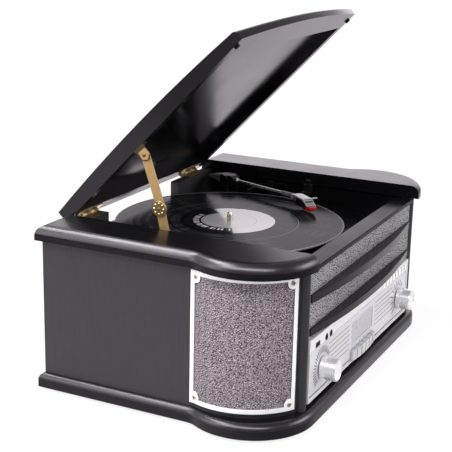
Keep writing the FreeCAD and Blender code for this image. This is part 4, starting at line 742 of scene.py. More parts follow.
def vinyl_finish(name):
    """Grooved record: painted sheen on bands of tracks, painted highlights on the gap between tracks and on
    the rim, and painted sheen streaks across the grooves.
    """
    values = bpy.context.scene.player_deck
    # Painted highlights: a light ring on the gap between tracks and another on the rim.
    gap_highlight, rim_highlight = (0.16, 0.155, 0.165), (0.20, 0.195, 0.205)
    tree, shader = new_finish(name, values.vinyl, 0.2, Anisotropic=0.4, Specular_IOR_Level=0.02)
    grooves = placed_group(tree, "Rings", Centre=RECORD_MIDDLE, Scale=1500.0)
    tracks = placed_group(tree, "Rings", Centre=RECORD_MIDDLE, Scale=90.0)
    band = spread(tree, tracks["Band"], 0.4, 0.6)
    tree.links.new(spread(tree, tracks["Band"], 0.35, 0.65, 0.15, 0.19), shader.inputs["Roughness"])
    # Painted sheen: bands of tracks get a lighter colour.
    base = mixed_colour(tree, shader, band, values.vinyl, values.vinyl_sheen)
    # Painted sheen: streaks that swing round the record lighten its colour across the grooves.
    bend = product(tree, wave(tree, tracks["Angle"], 5.0), 2.0)
    sway = wave(tree, tracks["Angle"], 14.0, bend)
    painted_sheen = product(tree, spread(tree, sway, -0.4, 1.0), band)
    base = mixed_colour(tree, shader, painted_sheen, base, values.vinyl_sheen_streak)
    # Painted highlight: a thin light ring on the gap between tracks.
    gap = within(tree, grooves["Radius"], 90.7 * MM, 91.3 * MM, 0.2 * MM)
    base = mixed_colour(tree, shader, gap, base, gap_highlight)
    # Painted highlight: a light ring along the rim.
    rim = within(tree, grooves["Radius"], 148.9 * MM, 151 * MM, 0.3 * MM)
    mixed_colour(tree, shader, rim, base, rim_highlight)
    bumped(tree, shader, grooves["Band"], 0.05, 0.02 * MM)
    tangent = node(tree, "Tangent", direction_type="RADIAL", axis="Z")
    tree.links.new(tangent.outputs["Tangent"], shader.inputs["Tangent"])


def label_finish(name):
    """Plain paper label: a thin ring, and a dark band on one side with a row of small plain marks."""
    values = bpy.context.scene.player_deck
    mark_tone = (0.82, 0.80, 0.82)
    tree, shader = new_finish(name, values.label, 0.1, Specular_IOR_Level=0.25)
    rings = placed_group(tree, "Rings", Centre=RECORD_MIDDLE, Scale=300.0)
    radius = rings["Radius"]
    angle = maths(tree, "MODULO", maths(tree, "ADD", rings["Angle"], FULL_TURN), FULL_TURN)
    ring = within(tree, radius, 35.4 * MM, 36.1 * MM, 0.25 * MM)
    base = mixed_colour(tree, shader, ring, values.label, toned(values.label, 0.62))
    sector = within(tree, angle, math.radians(48), math.radians(210), 0.01)
    band = product(tree, sector, within(tree, radius, 37.6 * MM, 61 * MM, 0.2 * MM))
    base = mixed_colour(tree, shader, band, base, values.label_band)
    strokes = spread(tree, wave(tree, angle, 58.0), -0.4, 0.0)
    breaks = spread(tree, wave(tree, angle, 23.0), -0.8, -0.5)
    marks = product(tree, strokes, breaks)
    row = product(tree, within(tree, radius, 40.5 * MM, 48 * MM, 0.3 * MM), marks)
    row = product(tree, row, within(tree, angle, math.radians(82), math.radians(207), 0.02))
    mixed_colour(tree, shader, row, base, mark_tone)


class PLAYER_OT_finishes(bpy.types.Operator):
    """Makes the shared node groups and the finishes"""
    bl_idname = "player.finishes"
    bl_label = "Finishes"

    def execute(self, context):
        for make in (grain_group, smudge_group, fleck_group, ring_group):
            make()
        self.paints(context.scene.player_cabinet)
        self.metals(context.scene.player_metal, context.scene.player_plate.strip_low)
        self.plastics(context.scene.player_deck.red)
        vinyl_finish("record vinyl")
        label_finish("label paper")
        return {"FINISHED"}

    def paints(self, values):
        """Paints with their roughness, sheen, grain and relief, and the cloths."""
        wall = (values.wall, values.wall_worn)
        black = (values.paint, values.paint_worn)
        along, across, upright = (500, 8, 500), (8, 500, 500), (8, 8, 500)
        for name, tones, roughness, sheen, stretch, depth in (
            ("wall paint", wall, values.wall_gloss, 0.5, (600, 600, 30), 0.05),
            ("paint lengthwise", black, values.paint_gloss, 0.2, along, 0.02),
            ("paint crosswise", black, values.paint_gloss, 0.28, across, 0.02),
            ("edge paint", black, 0.32, 0.75, upright, 0.01),
            ("rail paint", black, values.paint_gloss, 0.05, across, 0.02),
            ("lid paint", black, 0.16, 0.5, along, 0.01),
            ("well paint", black, 0.2, 0.4, along, 0.01),
        ):
            paint_finish(name, *tones, roughness, sheen, stretch, depth)
        cloth_finish("cloth side", values.cloth_cell, (1, 1, 1), 0.2, values.cloth_mid)
        cloth_finish("cloth front", values.weave_cell, (0.5, 1, 1), 0.15, values.cloth_front)

    def metals(self, values, strip_low):
        """Brushed metals, and polished ones with their roughness and metallic share."""
        brushed_finish("frame silver", values.silver, (500, 500, 500), 0.38, 0.2, 0.95)
        plate_finish("plate silver", values.plate, values.strip, strip_low)
        brushed_finish("knob silver", values.knob, (60, 900, 60), 0.28, 0.65, 0.92)
        for name, base, roughness, metallic in (
            ("cap silver", values.knob, 0.35, 0.15),
            ("key silver", toned(values.knob, 0.68), 0.3, 0.3),
            ("brass satin", values.brass, 0.42, 0.6),
            ("brass polished", values.brass_bright, 0.22, 1.0),
            ("brass dark", values.brass_dark_tone, 0.4, 0.8),
            ("brass shade", toned(values.brass_dark_tone, 1 / 3), 0.4, 0.6),
            ("steel bright", values.steel, 0.24, 1.0),
            ("screw metal", values.screw, 0.35, 1.0),
            ("steel grey", (0.23, 0.23, 0.245), 0.4, 0.6),
            ("steel satin", (0.56, 0.56, 0.58), 0.4, 0.4),
            ("spindle brass", (0.78, 0.71, 0.55), 0.25, 1.0),
            ("platter metal", (0.28, 0.28, 0.29), 0.35, 1.0),
        ):
            polished_finish(name, base, roughness, metallic)

    def plastics(self, red):
        """Smooth plastics, and moulded ones with their roughness and sheen."""
        polished_finish("cartridge red", red, 0.3, 0.0)
        polished_finish("display glass", (0.47, 0.46, 0.51), 0.3, 0.0)
        for name, base, roughness, sheen in (
            ("plastic black", (0.0065, 0.0063, 0.0074), 0.4, 0.15),
            ("plastic grey", (0.052, 0.052, 0.056), 0.45, 0.35),
            ("tail grey", (0.11, 0.11, 0.118), 0.42, 0.35),
            ("deck black", (0.0036, 0.0034, 0.0042), 0.26, 0.4),
            ("rubber black", (0.010, 0.010, 0.010), 0.7, 0.25),
            ("print grey", (0.13, 0.127, 0.14), 0.6, 0.35),
            ("print dark", (0.028, 0.027, 0.030), 0.5, 0.35),
            ("print white", (0.86, 0.86, 0.88), 0.45, 0.35),
            ("socket red", (0.42, 0.02, 0.02), 0.4, 0.35),
            ("circuit green", (0.02, 0.09, 0.04), 0.45, 0.35),
            ("core iron", (0.10, 0.10, 0.105), 0.55, 0.35),
            ("speaker paper", (0.03, 0.029, 0.028), 0.8, 0.35),
        ):
            moulded_finish(name, base, roughness, sheen)


class PLAYER_OT_cabinet(bpy.types.Operator):
    """Paints the cabinet's boards and softens the edges that show"""
    bl_idname = "player.cabinet"
    bl_label = "Cabinet"

    def execute(self, context):
        edge = context.scene.player_cabinet.soft_edge
        painted_nodes("wall paint", "side_panels", "speaker_baffles", "back_panel")
        painted_nodes("well paint", "well_walls", "front_panel")
        self.boards(context.scene.player_cabinet.board_edge, edge)
        for source, name, paint in (
            ("front_rail", "front_cross_rail", "rail paint"),
            ("trim_bars", "front_bowed_bars", "paint crosswise"),
        ):
            rounded_node(source, name, edge, paint, "cabinet")
        self.posts(edge / 2)
        rounded_node("rubber_feet", "soft_feet", edge / 2, "rubber black", "cabinet")
        painted_nodes("speaker paper", "speakers")
        return {"FINISHED"}

    def boards(self, wide, edge):
        """Top boards and base with rounded upper edges, whose paint catches more light."""
        upright, flat = 0.13, 0.985
        for source, name, paint in (
            ("top_boards", "top_board_caps", "paint lengthwise"),
            ("base_board", "base_plinth", "paint crosswise"),
        ):
            board = softened(rounded_top(merged_copy(source, name), wide), edge)
            dressed(board, paint, "cabinet", [source])
            second_finish(board, "edge paint", lambda face: upright < face.normal.z < flat)

    def posts(self, edge):
        """Rounded upright moulding on each side of the face, between the base and the top board."""
        low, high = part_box("base_board")[1].z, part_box("top_boards")[0].z
        side = PLATE_HIGH.x / MM
        bow = [math.pi * step / 12 for step in range(13)]
        front = [(6.8 - 6.7 * math.cos(a), -156 - 6.4 * math.sin(a)) for a in bow]
        outline = [(0.1, -149), *front, (13.5, -149)]
        halves = []
        for way in SIDES:
            points = [(way * (side + x) * MM, y * MM, low) for x, y in outline]
            halves.append(prism("post", points, (0, 0, high - low)))
        dressed(softened(joined("face_posts", halves), edge), "wall paint", "cabinet")


class PLAYER_OT_lid(bpy.types.Operator):
    """Joins the lid's panel and rails into one softened lid, with its pads, hinges and stay"""
    bl_idname = "player.lid"
    bl_label = "Lid"

    def execute(self, context):
        values = context.scene.player_lid
        edge = context.scene.player_cabinet.soft_edge
        self.shell(values, edge)
        self.pads(values, edge)
        for source, name, material, body in (
            ("hinge_lid_leaves", "lid_leaves", "brass polished", "lid"),
            ("hinge_frame_leaves", "frame_leaves", "brass dark", "cabinet"),
            ("stay_upper_arm", "stay_upper_bar", "brass satin", "stay_upper"),
            ("stay_lower_arm", "stay_lower_bar", "brass satin", "stay_lower"),
            ("stay_lid_bracket", "stay_lid_plate", "brass shade", "lid"),
            ("stay_wall_bracket", "stay_wall_plate", "brass satin", "cabinet"),
        ):
            rounded_node(source, name, edge / 4, material, body)
        self.elbow(values)
        self.house(values)
        return {"FINISHED"}

    def shell(self, values, edge):
        """Lid pulled from its panel, with the tray and the hinge room cut out of its rim."""
        low, high = closed_box("lid_rails")
        rim, half, downward = values.side_rim, values.hinge_room / 2, -0.99
        lid = merged_copy("lid_panel", "lid_shell")
        moved(lid, around(LID_HINGE, "X", LID_OPEN))
        pick_faces(lid, lambda face: face.normal.z < downward)
        bpy.ops.mesh.extrude_region_move(TRANSFORM_OT_translate={"value": (0, 0, low.z - high.z)})
        mode("OBJECT")
        tray_low = (low.x + rim, low.y + values.front_bow + values.front_rim, low.z - rim)
        tray_high = (high.x - rim, high.y - values.rear_rim, high.z + values.tray_sink)
        cut(lid, block("tray", tray_low, tray_high))
        for side in SIDES:
            across = [side * values.hinge_place + end for end in (-half, half)]
            ends = [Vector((x, LID_HINGE.y, LID_HINGE.z)) for x in across]
            cut(lid, rod("barrel room", *ends, values.barrel_room))
        softened(moved(lid, around(LID_HINGE, "X", -LID_OPEN)), edge, 2, 40)
        dressed(lid, "lid paint", "lid", ["lid_panel", "lid_rails"])

    def pads(self, values, edge):
        """Low soft pads under the lid's front corners."""
        down = Matrix.Rotation(-LID_OPEN, 3, "X") @ -Z_AXIS
        pads = merged_copy("lid_bumpers", "lid_pads")
        foot = Matrix.Translation(down * min(vertex.co.dot(down) for vertex in pads.data.vertices))
        moved(pads, foot @ Matrix.Scale(values.pad_height, 4, down) @ foot.inverted())
        dressed(softened(pads, edge), "rubber black", "lid", ["lid_bumpers"])

    def elbow(self, values):
        """Ring of bright beads on the elbow's dark disc, round a dark rivet."""
        place = pivot("stay_elbow")
        place.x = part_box("stay_lower_arm")[0].x
        wide = values.ring_radius / MM
        profile = [(0, -0.4), (wide, -0.4), (wide, 0.1), (wide - 0.3, 0.35), (0, 0.35)]
        ring = lathe("elbow_ring", profile, seat(place, -X_AXIS), 40)
        dressed(ring, "brass dark", "stay_lower")
        bead = dome("bead", values.bead_radius, values.bead_radius * 0.8, values.bead_radius)
        reach, number = values.bead_ring, values.bead_count
        angles = [FULL_TURN * index / number for index in range(number)]
        spots = [(place.x, place.y + reach * math.sin(a), place.z + reach * math.cos(a)) for a in angles]
        beads = repeated("elbow_beads", bead, [seat(spot, -X_AXIS) for spot in spots])
        dressed(beads, "brass polished", "stay_lower")
        rivet = dome("elbow_rivet", values.rivet_radius, values.rivet_radius * 0.6, values.rivet_radius)
        dressed(moved(rivet, seat(place, -X_AXIS)), "brass dark", "stay_lower")

    def house(self, values):
        """House-shaped plate and rivet over the stay's upper end."""
        place = pivot("stay_lid_pivot")
        radius = values.rivet_radius
        points = [v.co for name in ("stay_upper_arm", "stay_lid_bracket") for v in NODES[name].data.vertices]
        face = min(point.x for point in points if (point - place).yz.length < 5 * radius)
        outline = [(-1, 9), (-8, 3), (-5.6, -4.8), (1.6, -6.2), (7.8, 1.4)]
        points = [(face, place.y + y * MM, place.z + z * MM) for y, z in outline]
        plate = softened(prism("stay_end_plate", points, -X_AXIS * radius / 3), radius / 8)
        dressed(plate, "brass satin", "stay_upper")
        rivet = dome("stay_end_rivet", radius, radius / 2, radius / 2)
        moved(rivet, seat((face - radius / 3, place.y, place.z), -X_AXIS))
        dressed(rivet, "brass dark", "stay_upper")


class PLAYER_OT_grilles(bpy.types.Operator):
    """Dresses the speaker grilles and the front cloth, and screws the frames on"""
    bl_idname = "player.grilles"
    bl_label = "Grilles"

    def execute(self, context):
        values = context.scene.player_metal
        painted_nodes("cloth side", "grille_cloths")
        painted_nodes("cloth front", "front_cloth")
        self.rims(values)
        screw = cross_screw("grille_screws", values.screw_radius)
        places = self.screw_places(values)
        dressed(repeated("grille_screws", screw, places), "screw metal", "cabinet")
        # Painted shade: dark crosses laid at the bottom of the screws' recesses, where shade falls.
        arm, thin, level = (values.screw_radius * part for part in (0.6, 0.13, 0.14))
        cross = softened(joined("cross", cross_bars(arm, thin, 0, level)), thin / 4, 1)
        dressed(repeated("screw_crosses", cross, places), "plastic black", "cabinet")
        return {"FINISHED"}

    def centres(self, values):
        """Middles of the right turret's hollow and of its rounded corner, seen from above."""
        low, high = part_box("side_panels")
        hollow = Vector((high.x + values.hollow_radius, low.y))
        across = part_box("speaker_baffles")[1].x - values.wall_radius
        drop = math.sqrt((values.wall_radius + values.hollow_radius) ** 2 - (hollow.x - across) ** 2)
        return hollow, Vector((across, hollow.y - drop))

    def rims(self, values):
        """Bright frames whose thin upright side walls get a dark finish as painted shade."""
        rims = rounded_node(
            "grille_frames", "grille_rims", values.frame_rise / 4, "frame silver", "cabinet")
        hollow, corner = self.centres(values)
        bend = corner.lerp(hollow, values.wall_radius / (values.wall_radius + values.hollow_radius))
        outward, upward = 0.35, 0.8

        def shaded_side_wall(face):
            place = Vector((abs(face.center.x), face.center.y))
            out = (place - (hollow if place.y > bend.y else corner)).normalized()
            across = face.normal.x * math.copysign(out.x, face.center.x) + face.normal.y * out.y
            return abs(across) < outward and abs(face.normal.z) < upward

        # Painted shade: the frames' thin side walls, which lie in shadow, get the dark print finish.
        second_finish(rims, "print dark", shaded_side_wall)

    def screw_places(self, values):
        """Seats of the screws in the frames' lobes, on the hollow and near the front."""
        hollow, corner = self.centres(values)
        near = values.lobe_inset / values.hollow_radius
        far = values.lobe_inset / values.wall_radius - values.frame_end
        near_out, far_out = (Vector((math.cos(angle), math.sin(angle))) for angle in (near, far))
        spots = (
            (hollow - near_out * (values.hollow_radius - values.frame_rise), near_out),
            (corner + far_out * (values.wall_radius + values.frame_rise), far_out),
        )
        low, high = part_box("grille_frames")
        levels = (low.z + values.lobe_inset, high.z - values.lobe_inset)
        return [
            seat((side * spot.x, spot.y, z), (side * out.x, out.y, 0))
            for spot, out in spots for side in SIDES for z in levels
        ]


class PLAYER_OT_front(bpy.types.Operator):
    """Dresses the control plate with print, sockets, display, keys and knobs"""
    bl_idname = "player.front"
    bl_label = "Control plate"

    def execute(self, context):
        values = context.scene.player_plate
        drop = values.field_drop
        self.field = PLATE_LOW.y + drop
        rounded_node("faceplate", "control_plate", drop / 4, "plate silver", "cabinet")
        for make in (self.dials, self.ticks, self.display, self.sockets, self.ribs):
            make(values)
        for body in ("volume", "tuning"):
            self.knob(values, body + "_knob", body)
        for index in KEYS:
            self.key(values, "button_%d" % index, "key_%d" % index)
        painted_nodes("circuit green", "control_board")
        return {"FINISHED"}

    def key(self, values, source, name):
        """Key drawn in at its sides, so that a dark gap shows beside it."""
        key = merged_copy(source, name)
        there = Matrix.Translation(middle(source))
        moved(key, there @ Matrix.Scale(values.key_share, 4, X_AXIS) @ there.inverted())
        dressed(softened(key, values.field_drop / 2), "key silver", name, [source])

    def mark(self, values, x, z):
        """Thin printed bar on the plate's field, between two places across and two heights."""
        rise = values.print_rise
        return block("mark", (x[0], self.field - rise, z[0]), (x[1], self.field + rise, z[1]))

    def printed(self, values, name, marks, material, slot):
        """Thin marks as one printed piece."""
        marks = softened(joined(name, marks), values.print_rise / 3, 1)
        dressed(marks, material, "cabinet")

    def dots(self, values, name, radius, spots, material, slot):
        """Low dots on the plate's field, at places across and heights."""
        dot = dome(name, radius, values.print_rise, values.print_rise)
        places = [seat((x, self.field, z), -Y_AXIS) for x, z in spots]
        dressed(repeated(name, dot, places), material, "cabinet")

    def dials(self, values):
        """Lines of the two dial scales, the long line over them, the dark lines by the keys, which are
        painted shadow of the gap between the plate's rim and its field, and the dots by the keys.
        """
        line = values.line
        edge = PLATE_HIGH.x - 8 * line
        over = values.dial_high + 10 * line
        step = (values.dial_high - values.dial_low) / (values.dial_lines - 1)
        marks = []
        for side in SIDES:
            ends = sorted((side * values.dial_near, side * values.dial_far))
            for index in range(values.dial_lines):
                z = values.dial_low + index * step
                marks.append(self.mark(values, ends, (z, z + line)))
        marks.append(self.mark(values, (-edge, edge), (over, over + line)))
        self.printed(values, "dial_lines", marks, "print grey", "display_grey")
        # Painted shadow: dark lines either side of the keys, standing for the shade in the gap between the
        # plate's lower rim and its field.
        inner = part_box("button_6")[1].x + 4 * line
        low = PLATE_LOW.z + 7 * line
        bars = [
            self.mark(values, sorted((side * inner, side * edge)), (low, low + 2 * line)) for side in SIDES
        ]
        self.printed(values, "key_row_lines", bars, "print dark", "socket_black")
        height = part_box("button_1")[1].z + 4 * line
        spots = [(middle("button_%d" % index).x, height) for index in KEYS]
        self.dots(values, "key_dots", 1.6 * line, spots, "print grey", "display_grey")

    def ticks(self, values):
        """Ring of ticks round each knob."""
        half, sweep = values.tick_line / 2, 270
        marks = []
        for name, number in (("volume_knob", values.ticks), ("tuning_knob", values.ticks // 2)):
            knob = middle(name)
            heights = (knob.z + values.tick_start, knob.z + values.tick_end)
            tick = self.mark(values, (knob.x - half, knob.x + half), heights)
            angles = [math.radians(sweep * index / (number - 1) - sweep / 2) for index in range(number)]
            marks.append(repeated("ticks", tick, [around(knob, "Y", angle) for angle in angles]))
        self.printed(values, "knob_ticks", marks, "print dark", "display_grey")

    def display(self, values):
        """Glass of the display in a bright bezel."""
        low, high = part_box("display_window")
        line, wide = values.line, values.bezel
        rounded_node("display_window", "display_glass", line, "display glass", "cabinet")
        inner_low = (low.x - line, self.field - 2 * wide, low.z - line)
        inner_high = (high.x + line, self.field + 2 * wide, high.z + line)
        outer_low = (low.x - wide, self.field - line, low.z - wide)
        outer_high = (high.x + wide, self.field + line / 2, high.z + wide)
        bezel = cut(block("display_bezel", outer_low, outer_high), block("hole", inner_low, inner_high))
        dressed(softened(bezel, line / 3), "plate silver", "cabinet")
        x = low.x - 2 * wide
        spots = [(x, low.z + (high.z - low.z) * part) for part in (0.1, 0.37, 0.63, 0.9)]
        self.dots(values, "display_dots", line, spots, "print dark", "socket_black")

    def sockets(self, values):
        """Dark sockets, the slot's tongue and the jacks' collars."""
        painted_nodes("plastic black", "usb_socket", "audio_jacks")
        low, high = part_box("usb_socket")
        wall = 2 * values.line
        tongue_low = (low.x + wall, low.y + values.line, low.z + wall)
        tongue = block("slot_tongue", tongue_low, (high.x - wall, high.y, high.z - wall))
        dressed(softened(tongue, values.line / 2), "plastic black", "cabinet")
        low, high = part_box("audio_jacks")
        radius = (high.z - low.z) / 2
        bore, wide = 2.4, radius / MM + 0.2
        profile = [
            (bore, -0.3), (wide, -0.3), (wide, 0.25), (wide - 0.4, 0.5), (bore + 0.3, 0.5), (bore, 0.2),
            (bore, -0.3),
        ]
        collar = lathe("jack_collars", profile, steps=32)
        level = middle("audio_jacks").z
        places = [seat((x, self.field, level), -Y_AXIS) for x in (low.x + radius, high.x - radius)]
        dressed(repeated("jack_collars", collar, places), "plastic black", "cabinet")

    def ribs(self, values):
        """White ribs at the strip's end, with grey print between them."""
        heights = (values.rib_low, values.rib_high)
        rib_low = (0, PLATE_LOW.y - values.print_rise, values.rib_low)
        rib = block("rib", rib_low, (values.rib_width, self.field, values.rib_high))
        softened(rib, values.line / 2)
        inner = PLATE_HIGH.x - values.rim
        starts = [inner - values.rib_pitch * (index + 1) for index in range(values.rib_count)]
        steps = [Matrix.Translation((x, 0, 0)) for x in starts]
        dressed(repeated("strip_ribs", rib, steps), "print white", "cabinet")
        gap = self.mark(values, (values.rib_width, values.rib_pitch), heights)
        softened(gap, values.print_rise / 3, 1)
        dressed(repeated("strip_gaps", gap, steps), "print grey", "cabinet")

    def knob(self, values, source, body):
        """Turned knob with a dished cap, fine ribs on its skirt and a pointer line."""
        low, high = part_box(source)
        place = Vector((middle(source).x, PLATE_LOW.y, middle(source).z))
        reach = (place.y - low.y) / MM
        radius = (high.x - low.x) / 2 / MM
        profile = [
            (0, reach - 0.7), (radius - 3.4, reach - 0.7), (radius - 2.4, reach), (radius - 1.4, reach - 0.2),
            (radius - 0.9, reach - 1.1), (radius - 0.6, 7), (radius, 6.2), (radius, 2), (radius - 0.6, 1.2),
            (3, 1.2), (3, -16), (0, -16),
        ]
        turned = lathe(body + "_turned_knob", profile, seat(place, -Y_AXIS), 72)
        half, top = 0.22 * MM, place.z + radius * MM
        rib_low = (place.x - half, place.y - 6 * MM, top - 2 * MM)
        rib = softened(block("rib", rib_low, (place.x + half, place.y - 2.2 * MM, top)), half / 2, 1)
        angles = [FULL_TURN * index / values.knob_ribs for index in range(values.knob_ribs)]
        ribs = repeated("ribs", rib, [around(place, "Y", angle) for angle in angles])
        line_low = (place.x - 0.5 * MM, low.y, place.z + 6 * MM)
        line_high = (place.x + 0.5 * MM, low.y + 1.4 * MM, place.z + 11.4 * MM)
        cut(turned, block("pointer", line_low, line_high))
        knob = smoothed(joined(body + "_turned_knob", [turned, ribs]))
        dressed(knob, "knob silver", body, [source])
        cap, facing = radius * MM - values.cap_edge, -0.95
        second_finish(
            knob, "cap silver",
            lambda face: face.normal.y < facing and (face.center - place).xz.length < cap)


class PLAYER_OT_deck(bpy.types.Operator):
    """Dresses the deck, the record and the drive under it"""
    bl_idname = "player.deck"
    bl_label = "Deck"

    def execute(self, context):
        painted_nodes("deck black", "deck_plate")
        painted_nodes("platter metal", "platter")
        painted_nodes("rubber black", "platter_mat", "drive_belt")
        painted_nodes("label paper", "record_label")
        painted_nodes("steel bright", "platter_bearing", "motor_pulley")
        painted_nodes("core iron", "drive_motor")
        rounded_node("spindle", "spindle_pin", 0.5 * MM, "spindle brass", "turntable")
        self.record()
        self.speed_marks()
        return {"FINISHED"}

    def record(self):
        """Record with a rounded rim, a raised edge and a sunk label seat."""
        low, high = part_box("vinyl_record")
        radius, hole = (high.x - low.x) / 2 / MM, 3.7
        top, foot = high.z / MM, low.z / MM
        profile = [
            (hole, foot), (radius - 0.3, foot), (radius, foot + 0.6), (radius, top - 0.4),
            (radius - 0.5, top), (radius - 1.6, top), (radius - 2, top - 0.25), (60.8, top - 0.25),
            (60.4, top - 0.3), (hole, top - 0.3), (hole, foot),
        ]
        disc = lathe("record_disc", profile, Matrix.Translation((*RECORD_MIDDLE.xy, 0)), 128)
        dressed(smoothed(disc, 6), "record vinyl", "turntable", ["vinyl_record"])

    def speed_marks(self):
        """Three plain ticks on the deck beside the speed selector."""
        x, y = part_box("speed_selector")[1].x, middle("speed_selector").y
        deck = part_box("deck_plate")[1].z
        tick_high = (x + 9 * MM, y + 0.7 * MM, deck + 0.12 * MM)
        tick = softened(block("tick", (x + 5 * MM, y, deck - 0.1 * MM), tick_high), 0.05 * MM, 1)
        places = [Matrix.Translation((0, step * 6 * MM, 0)) for step in (-1, 0, 1)]
        dressed(repeated("speed_ticks", tick, places), "print white", "cabinet")


class PLAYER_OT_arm(bpy.types.Operator):
    """Dresses the tonearm: pivot housing, tube, head, stylus holder, cue lever and rest"""
    bl_idname = "player.arm"
    bl_label = "Tonearm"

    def execute(self, context):
        values = context.scene.player_arm
        for source, name, edge, body in (
            ("arm_base", "arm_foot", 0.6, "cabinet"),
            ("arm_gimbal", "arm_yoke_cheeks", 0.4, "arm_yoke"),
            ("arm_rest", "arm_rest_post", 0.5, "cabinet"),
            ("arm_clip", "arm_rest_clip", 0.4, "clip"),
            ("cue_lever", "cue_lever_rod", 0.3, "cue"),
        ):
            rounded_node(source, name, edge * MM, "plastic black", body)
        rounded_node("speed_selector", "speed_knob", 0.8 * MM, "steel grey", "selector")
        self.housing(values.block_half)
        self.tube(values)
        self.head(values)
        return {"FINISHED"}

    def housing(self, half):
        """Softened pivot block with a wedge-shaped tail and a lighter plate on top."""
        case = block("arm_housing", (-8 * MM, -half, -7.2 * MM), (8 * MM, half, 5.6 * MM))
        case = moved(softened(case, 1.6 * MM, 3), ARM_PLACE)
        dressed(case, "plastic black", "arm", ["arm_pivot_block"])
        side = [(half, 5), (half + 3 * MM, 5), (37 * MM, 1), (37 * MM, -1.6), (half, -6)]
        points = [(-7.5 * MM, y, z * MM) for y, z in side]
        tail = softened(prism("arm_tail", points, (15 * MM, 0, 0)), 0.8 * MM)
        dressed(moved(tail, ARM_PLACE), "tail grey", "arm")
        outline = [(-5, -10), (5, -10), (8, -4), (8, 8), (5, 13), (-5, 13), (-8, 8), (-8, -4)]
        points = [(x * MM, y * MM, 5.2 * MM) for x, y in outline]
        plate = softened(prism("arm_top_plate", points, (0, 0, 1.4 * MM)), 0.4 * MM)
        dressed(moved(plate, ARM_PLACE), "plastic grey", "arm")

    def tube(self, values):
        """Slim bright tube with a collar at the pivot and a darker connector at the head."""
        start, reach = values.block_half / MM, values.reach / MM
        slim = values.tube_radius / MM
        forward = ARM_PLACE @ seat((0, 0, 0), -Y_AXIS)
        profile = [
            (0, start), (3.6, start), (3.9, start + 0.6), (3.9, start + 5), (3.2, start + 6),
            (slim, start + 6.6), (slim, reach - 22), (0, reach - 22),
        ]
        dressed(lathe("arm_wand", profile, forward, 24), "steel bright", "arm", ["arm_tube"])
        profile = [
            (0, reach - 22.6), (2.6, reach - 22.6), (3.2, reach - 22), (3.2, reach - 13), (2.7, reach - 12.4),
            (2.7, reach - 11), (3.2, reach - 10.4), (3.2, reach + 1), (0, reach + 1),
        ]
        dressed(lathe("arm_connector", profile, forward, 24), "steel grey", "arm")

    def head(self, values):
        """Bent shell with ribs on its sloped front and teeth under it, over the red stylus holder."""
        offset = Matrix.Rotation(-values.offset, 4, "Z")
        there = ARM_PLACE @ Matrix.Translation((0, -values.reach, 0)) @ offset
        rounded_node("headshell", "head_shell", 0.45 * MM, "steel satin", "arm")
        rounded_node("cartridge", "stylus_holder", 0.6 * MM, "cartridge red", "arm")
        knee, toe = Vector(values.knee), Vector(values.toe)
        half = 5.8 * MM
        bars = []
        for index in range(values.ribs):
            spot = knee.lerp(toe, (index + 0.7) / values.ribs)
            bar = rod("rib", (-half, spot.x, spot.y), (half, spot.x, spot.y), 0.75 * MM, 12)
            bars.append(softened(bar, 0.3 * MM))
        ribs = moved(joined("head_ribs", bars), there)
        dressed(smoothed(ribs), "steel grey", "arm")
        tooth_low = (-1.2 * MM, toe.x - 0.6 * MM, toe.y - 2.2 * MM)
        tooth = block("tooth", tooth_low, (1.2 * MM, toe.x + 1.4 * MM, toe.y + 0.6 * MM))
        places = [there @ Matrix.Translation((x * MM, 0, 0)) for x in (-4.6, 0, 4.6)]
        teeth = repeated("head_teeth", softened(tooth, 0.4 * MM), places)
        dressed(teeth, "steel bright", "arm")
        sleeve = block("cartridge_sleeve", (-5.9 * MM, -45 * MM, -7.4 * MM), (5.9 * MM, -16 * MM, 3.0 * MM))
        dressed(moved(softened(sleeve, 0.8 * MM), there), "plastic black", "arm")


class PLAYER_OT_back(bpy.types.Operator):
    """Dresses the sockets and screws on the back and the pieces inside"""
    bl_idname = "player.back"
    bl_label = "Back"

    def execute(self, context):
        painted_nodes("steel bright", "rca_sockets")
        painted_nodes("plastic black", "mains_inlet")
        painted_nodes("core iron", "transformer")
        painted_nodes("circuit green", "amplifier_board")
        self.socket_rings()
        self.inlet_pins()
        self.panel_screws(context.scene.player_metal.screw_radius)
        return {"FINISHED"}

    def socket_rings(self):
        """Coloured ring round each line socket."""
        low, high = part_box("rca_sockets")
        radius, level = (high.z - low.z) / 2, middle("rca_sockets").z
        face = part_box("back_panel")[1].y
        inner, outer = radius / MM - 1.2, radius / MM + 1
        profile = [
            (inner, -1), (outer, -1), (outer, 1.4), (outer - 0.4, 1.9), (inner + 0.4, 1.9), (inner, 1.4),
            (inner, -1),
        ]
        for name, x, material in (
            ("left", low.x + radius, "print white"), ("right", high.x - radius, "socket red"),
        ):
            ring = lathe("socket_ring_" + name, profile, seat((x, face, level), Y_AXIS), 40)
            dressed(ring, material, "cabinet")

    def inlet_pins(self):
        """Two rounded pins inside the mains inlet."""
        centre = middle("mains_inlet")
        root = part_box("mains_inlet")[1].y - 12 * MM
        pin = lathe("inlet_pins", [(0, 0), (1.2, 0), (1.2, 9), (0.8, 9.8), (0, 10)], steps=20)
        places = [seat((centre.x + side * 4.2 * MM, root, centre.z), Y_AXIS) for side in SIDES]
        dressed(repeated("inlet_pins", pin, places), "steel bright", "cabinet")

    def panel_screws(self, radius):
        """Two rows of cross-head screws across the back panel, below the dip in its upper edge."""
        low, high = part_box("back_panel")
        inset = 4 * radius
        screw = cross_screw("panel_screws", radius)
        places = [
            seat((low.x + inset + (high.x - low.x - 2 * inset) * part, high.y, z), Y_AXIS)
            for part in (0, 0.33, 0.67, 1) for z in (low.z + inset, high.z - 5 * inset)
        ]
        dressed(repeated("panel_screws", screw, places), "steel grey", "cabinet")


# Stage

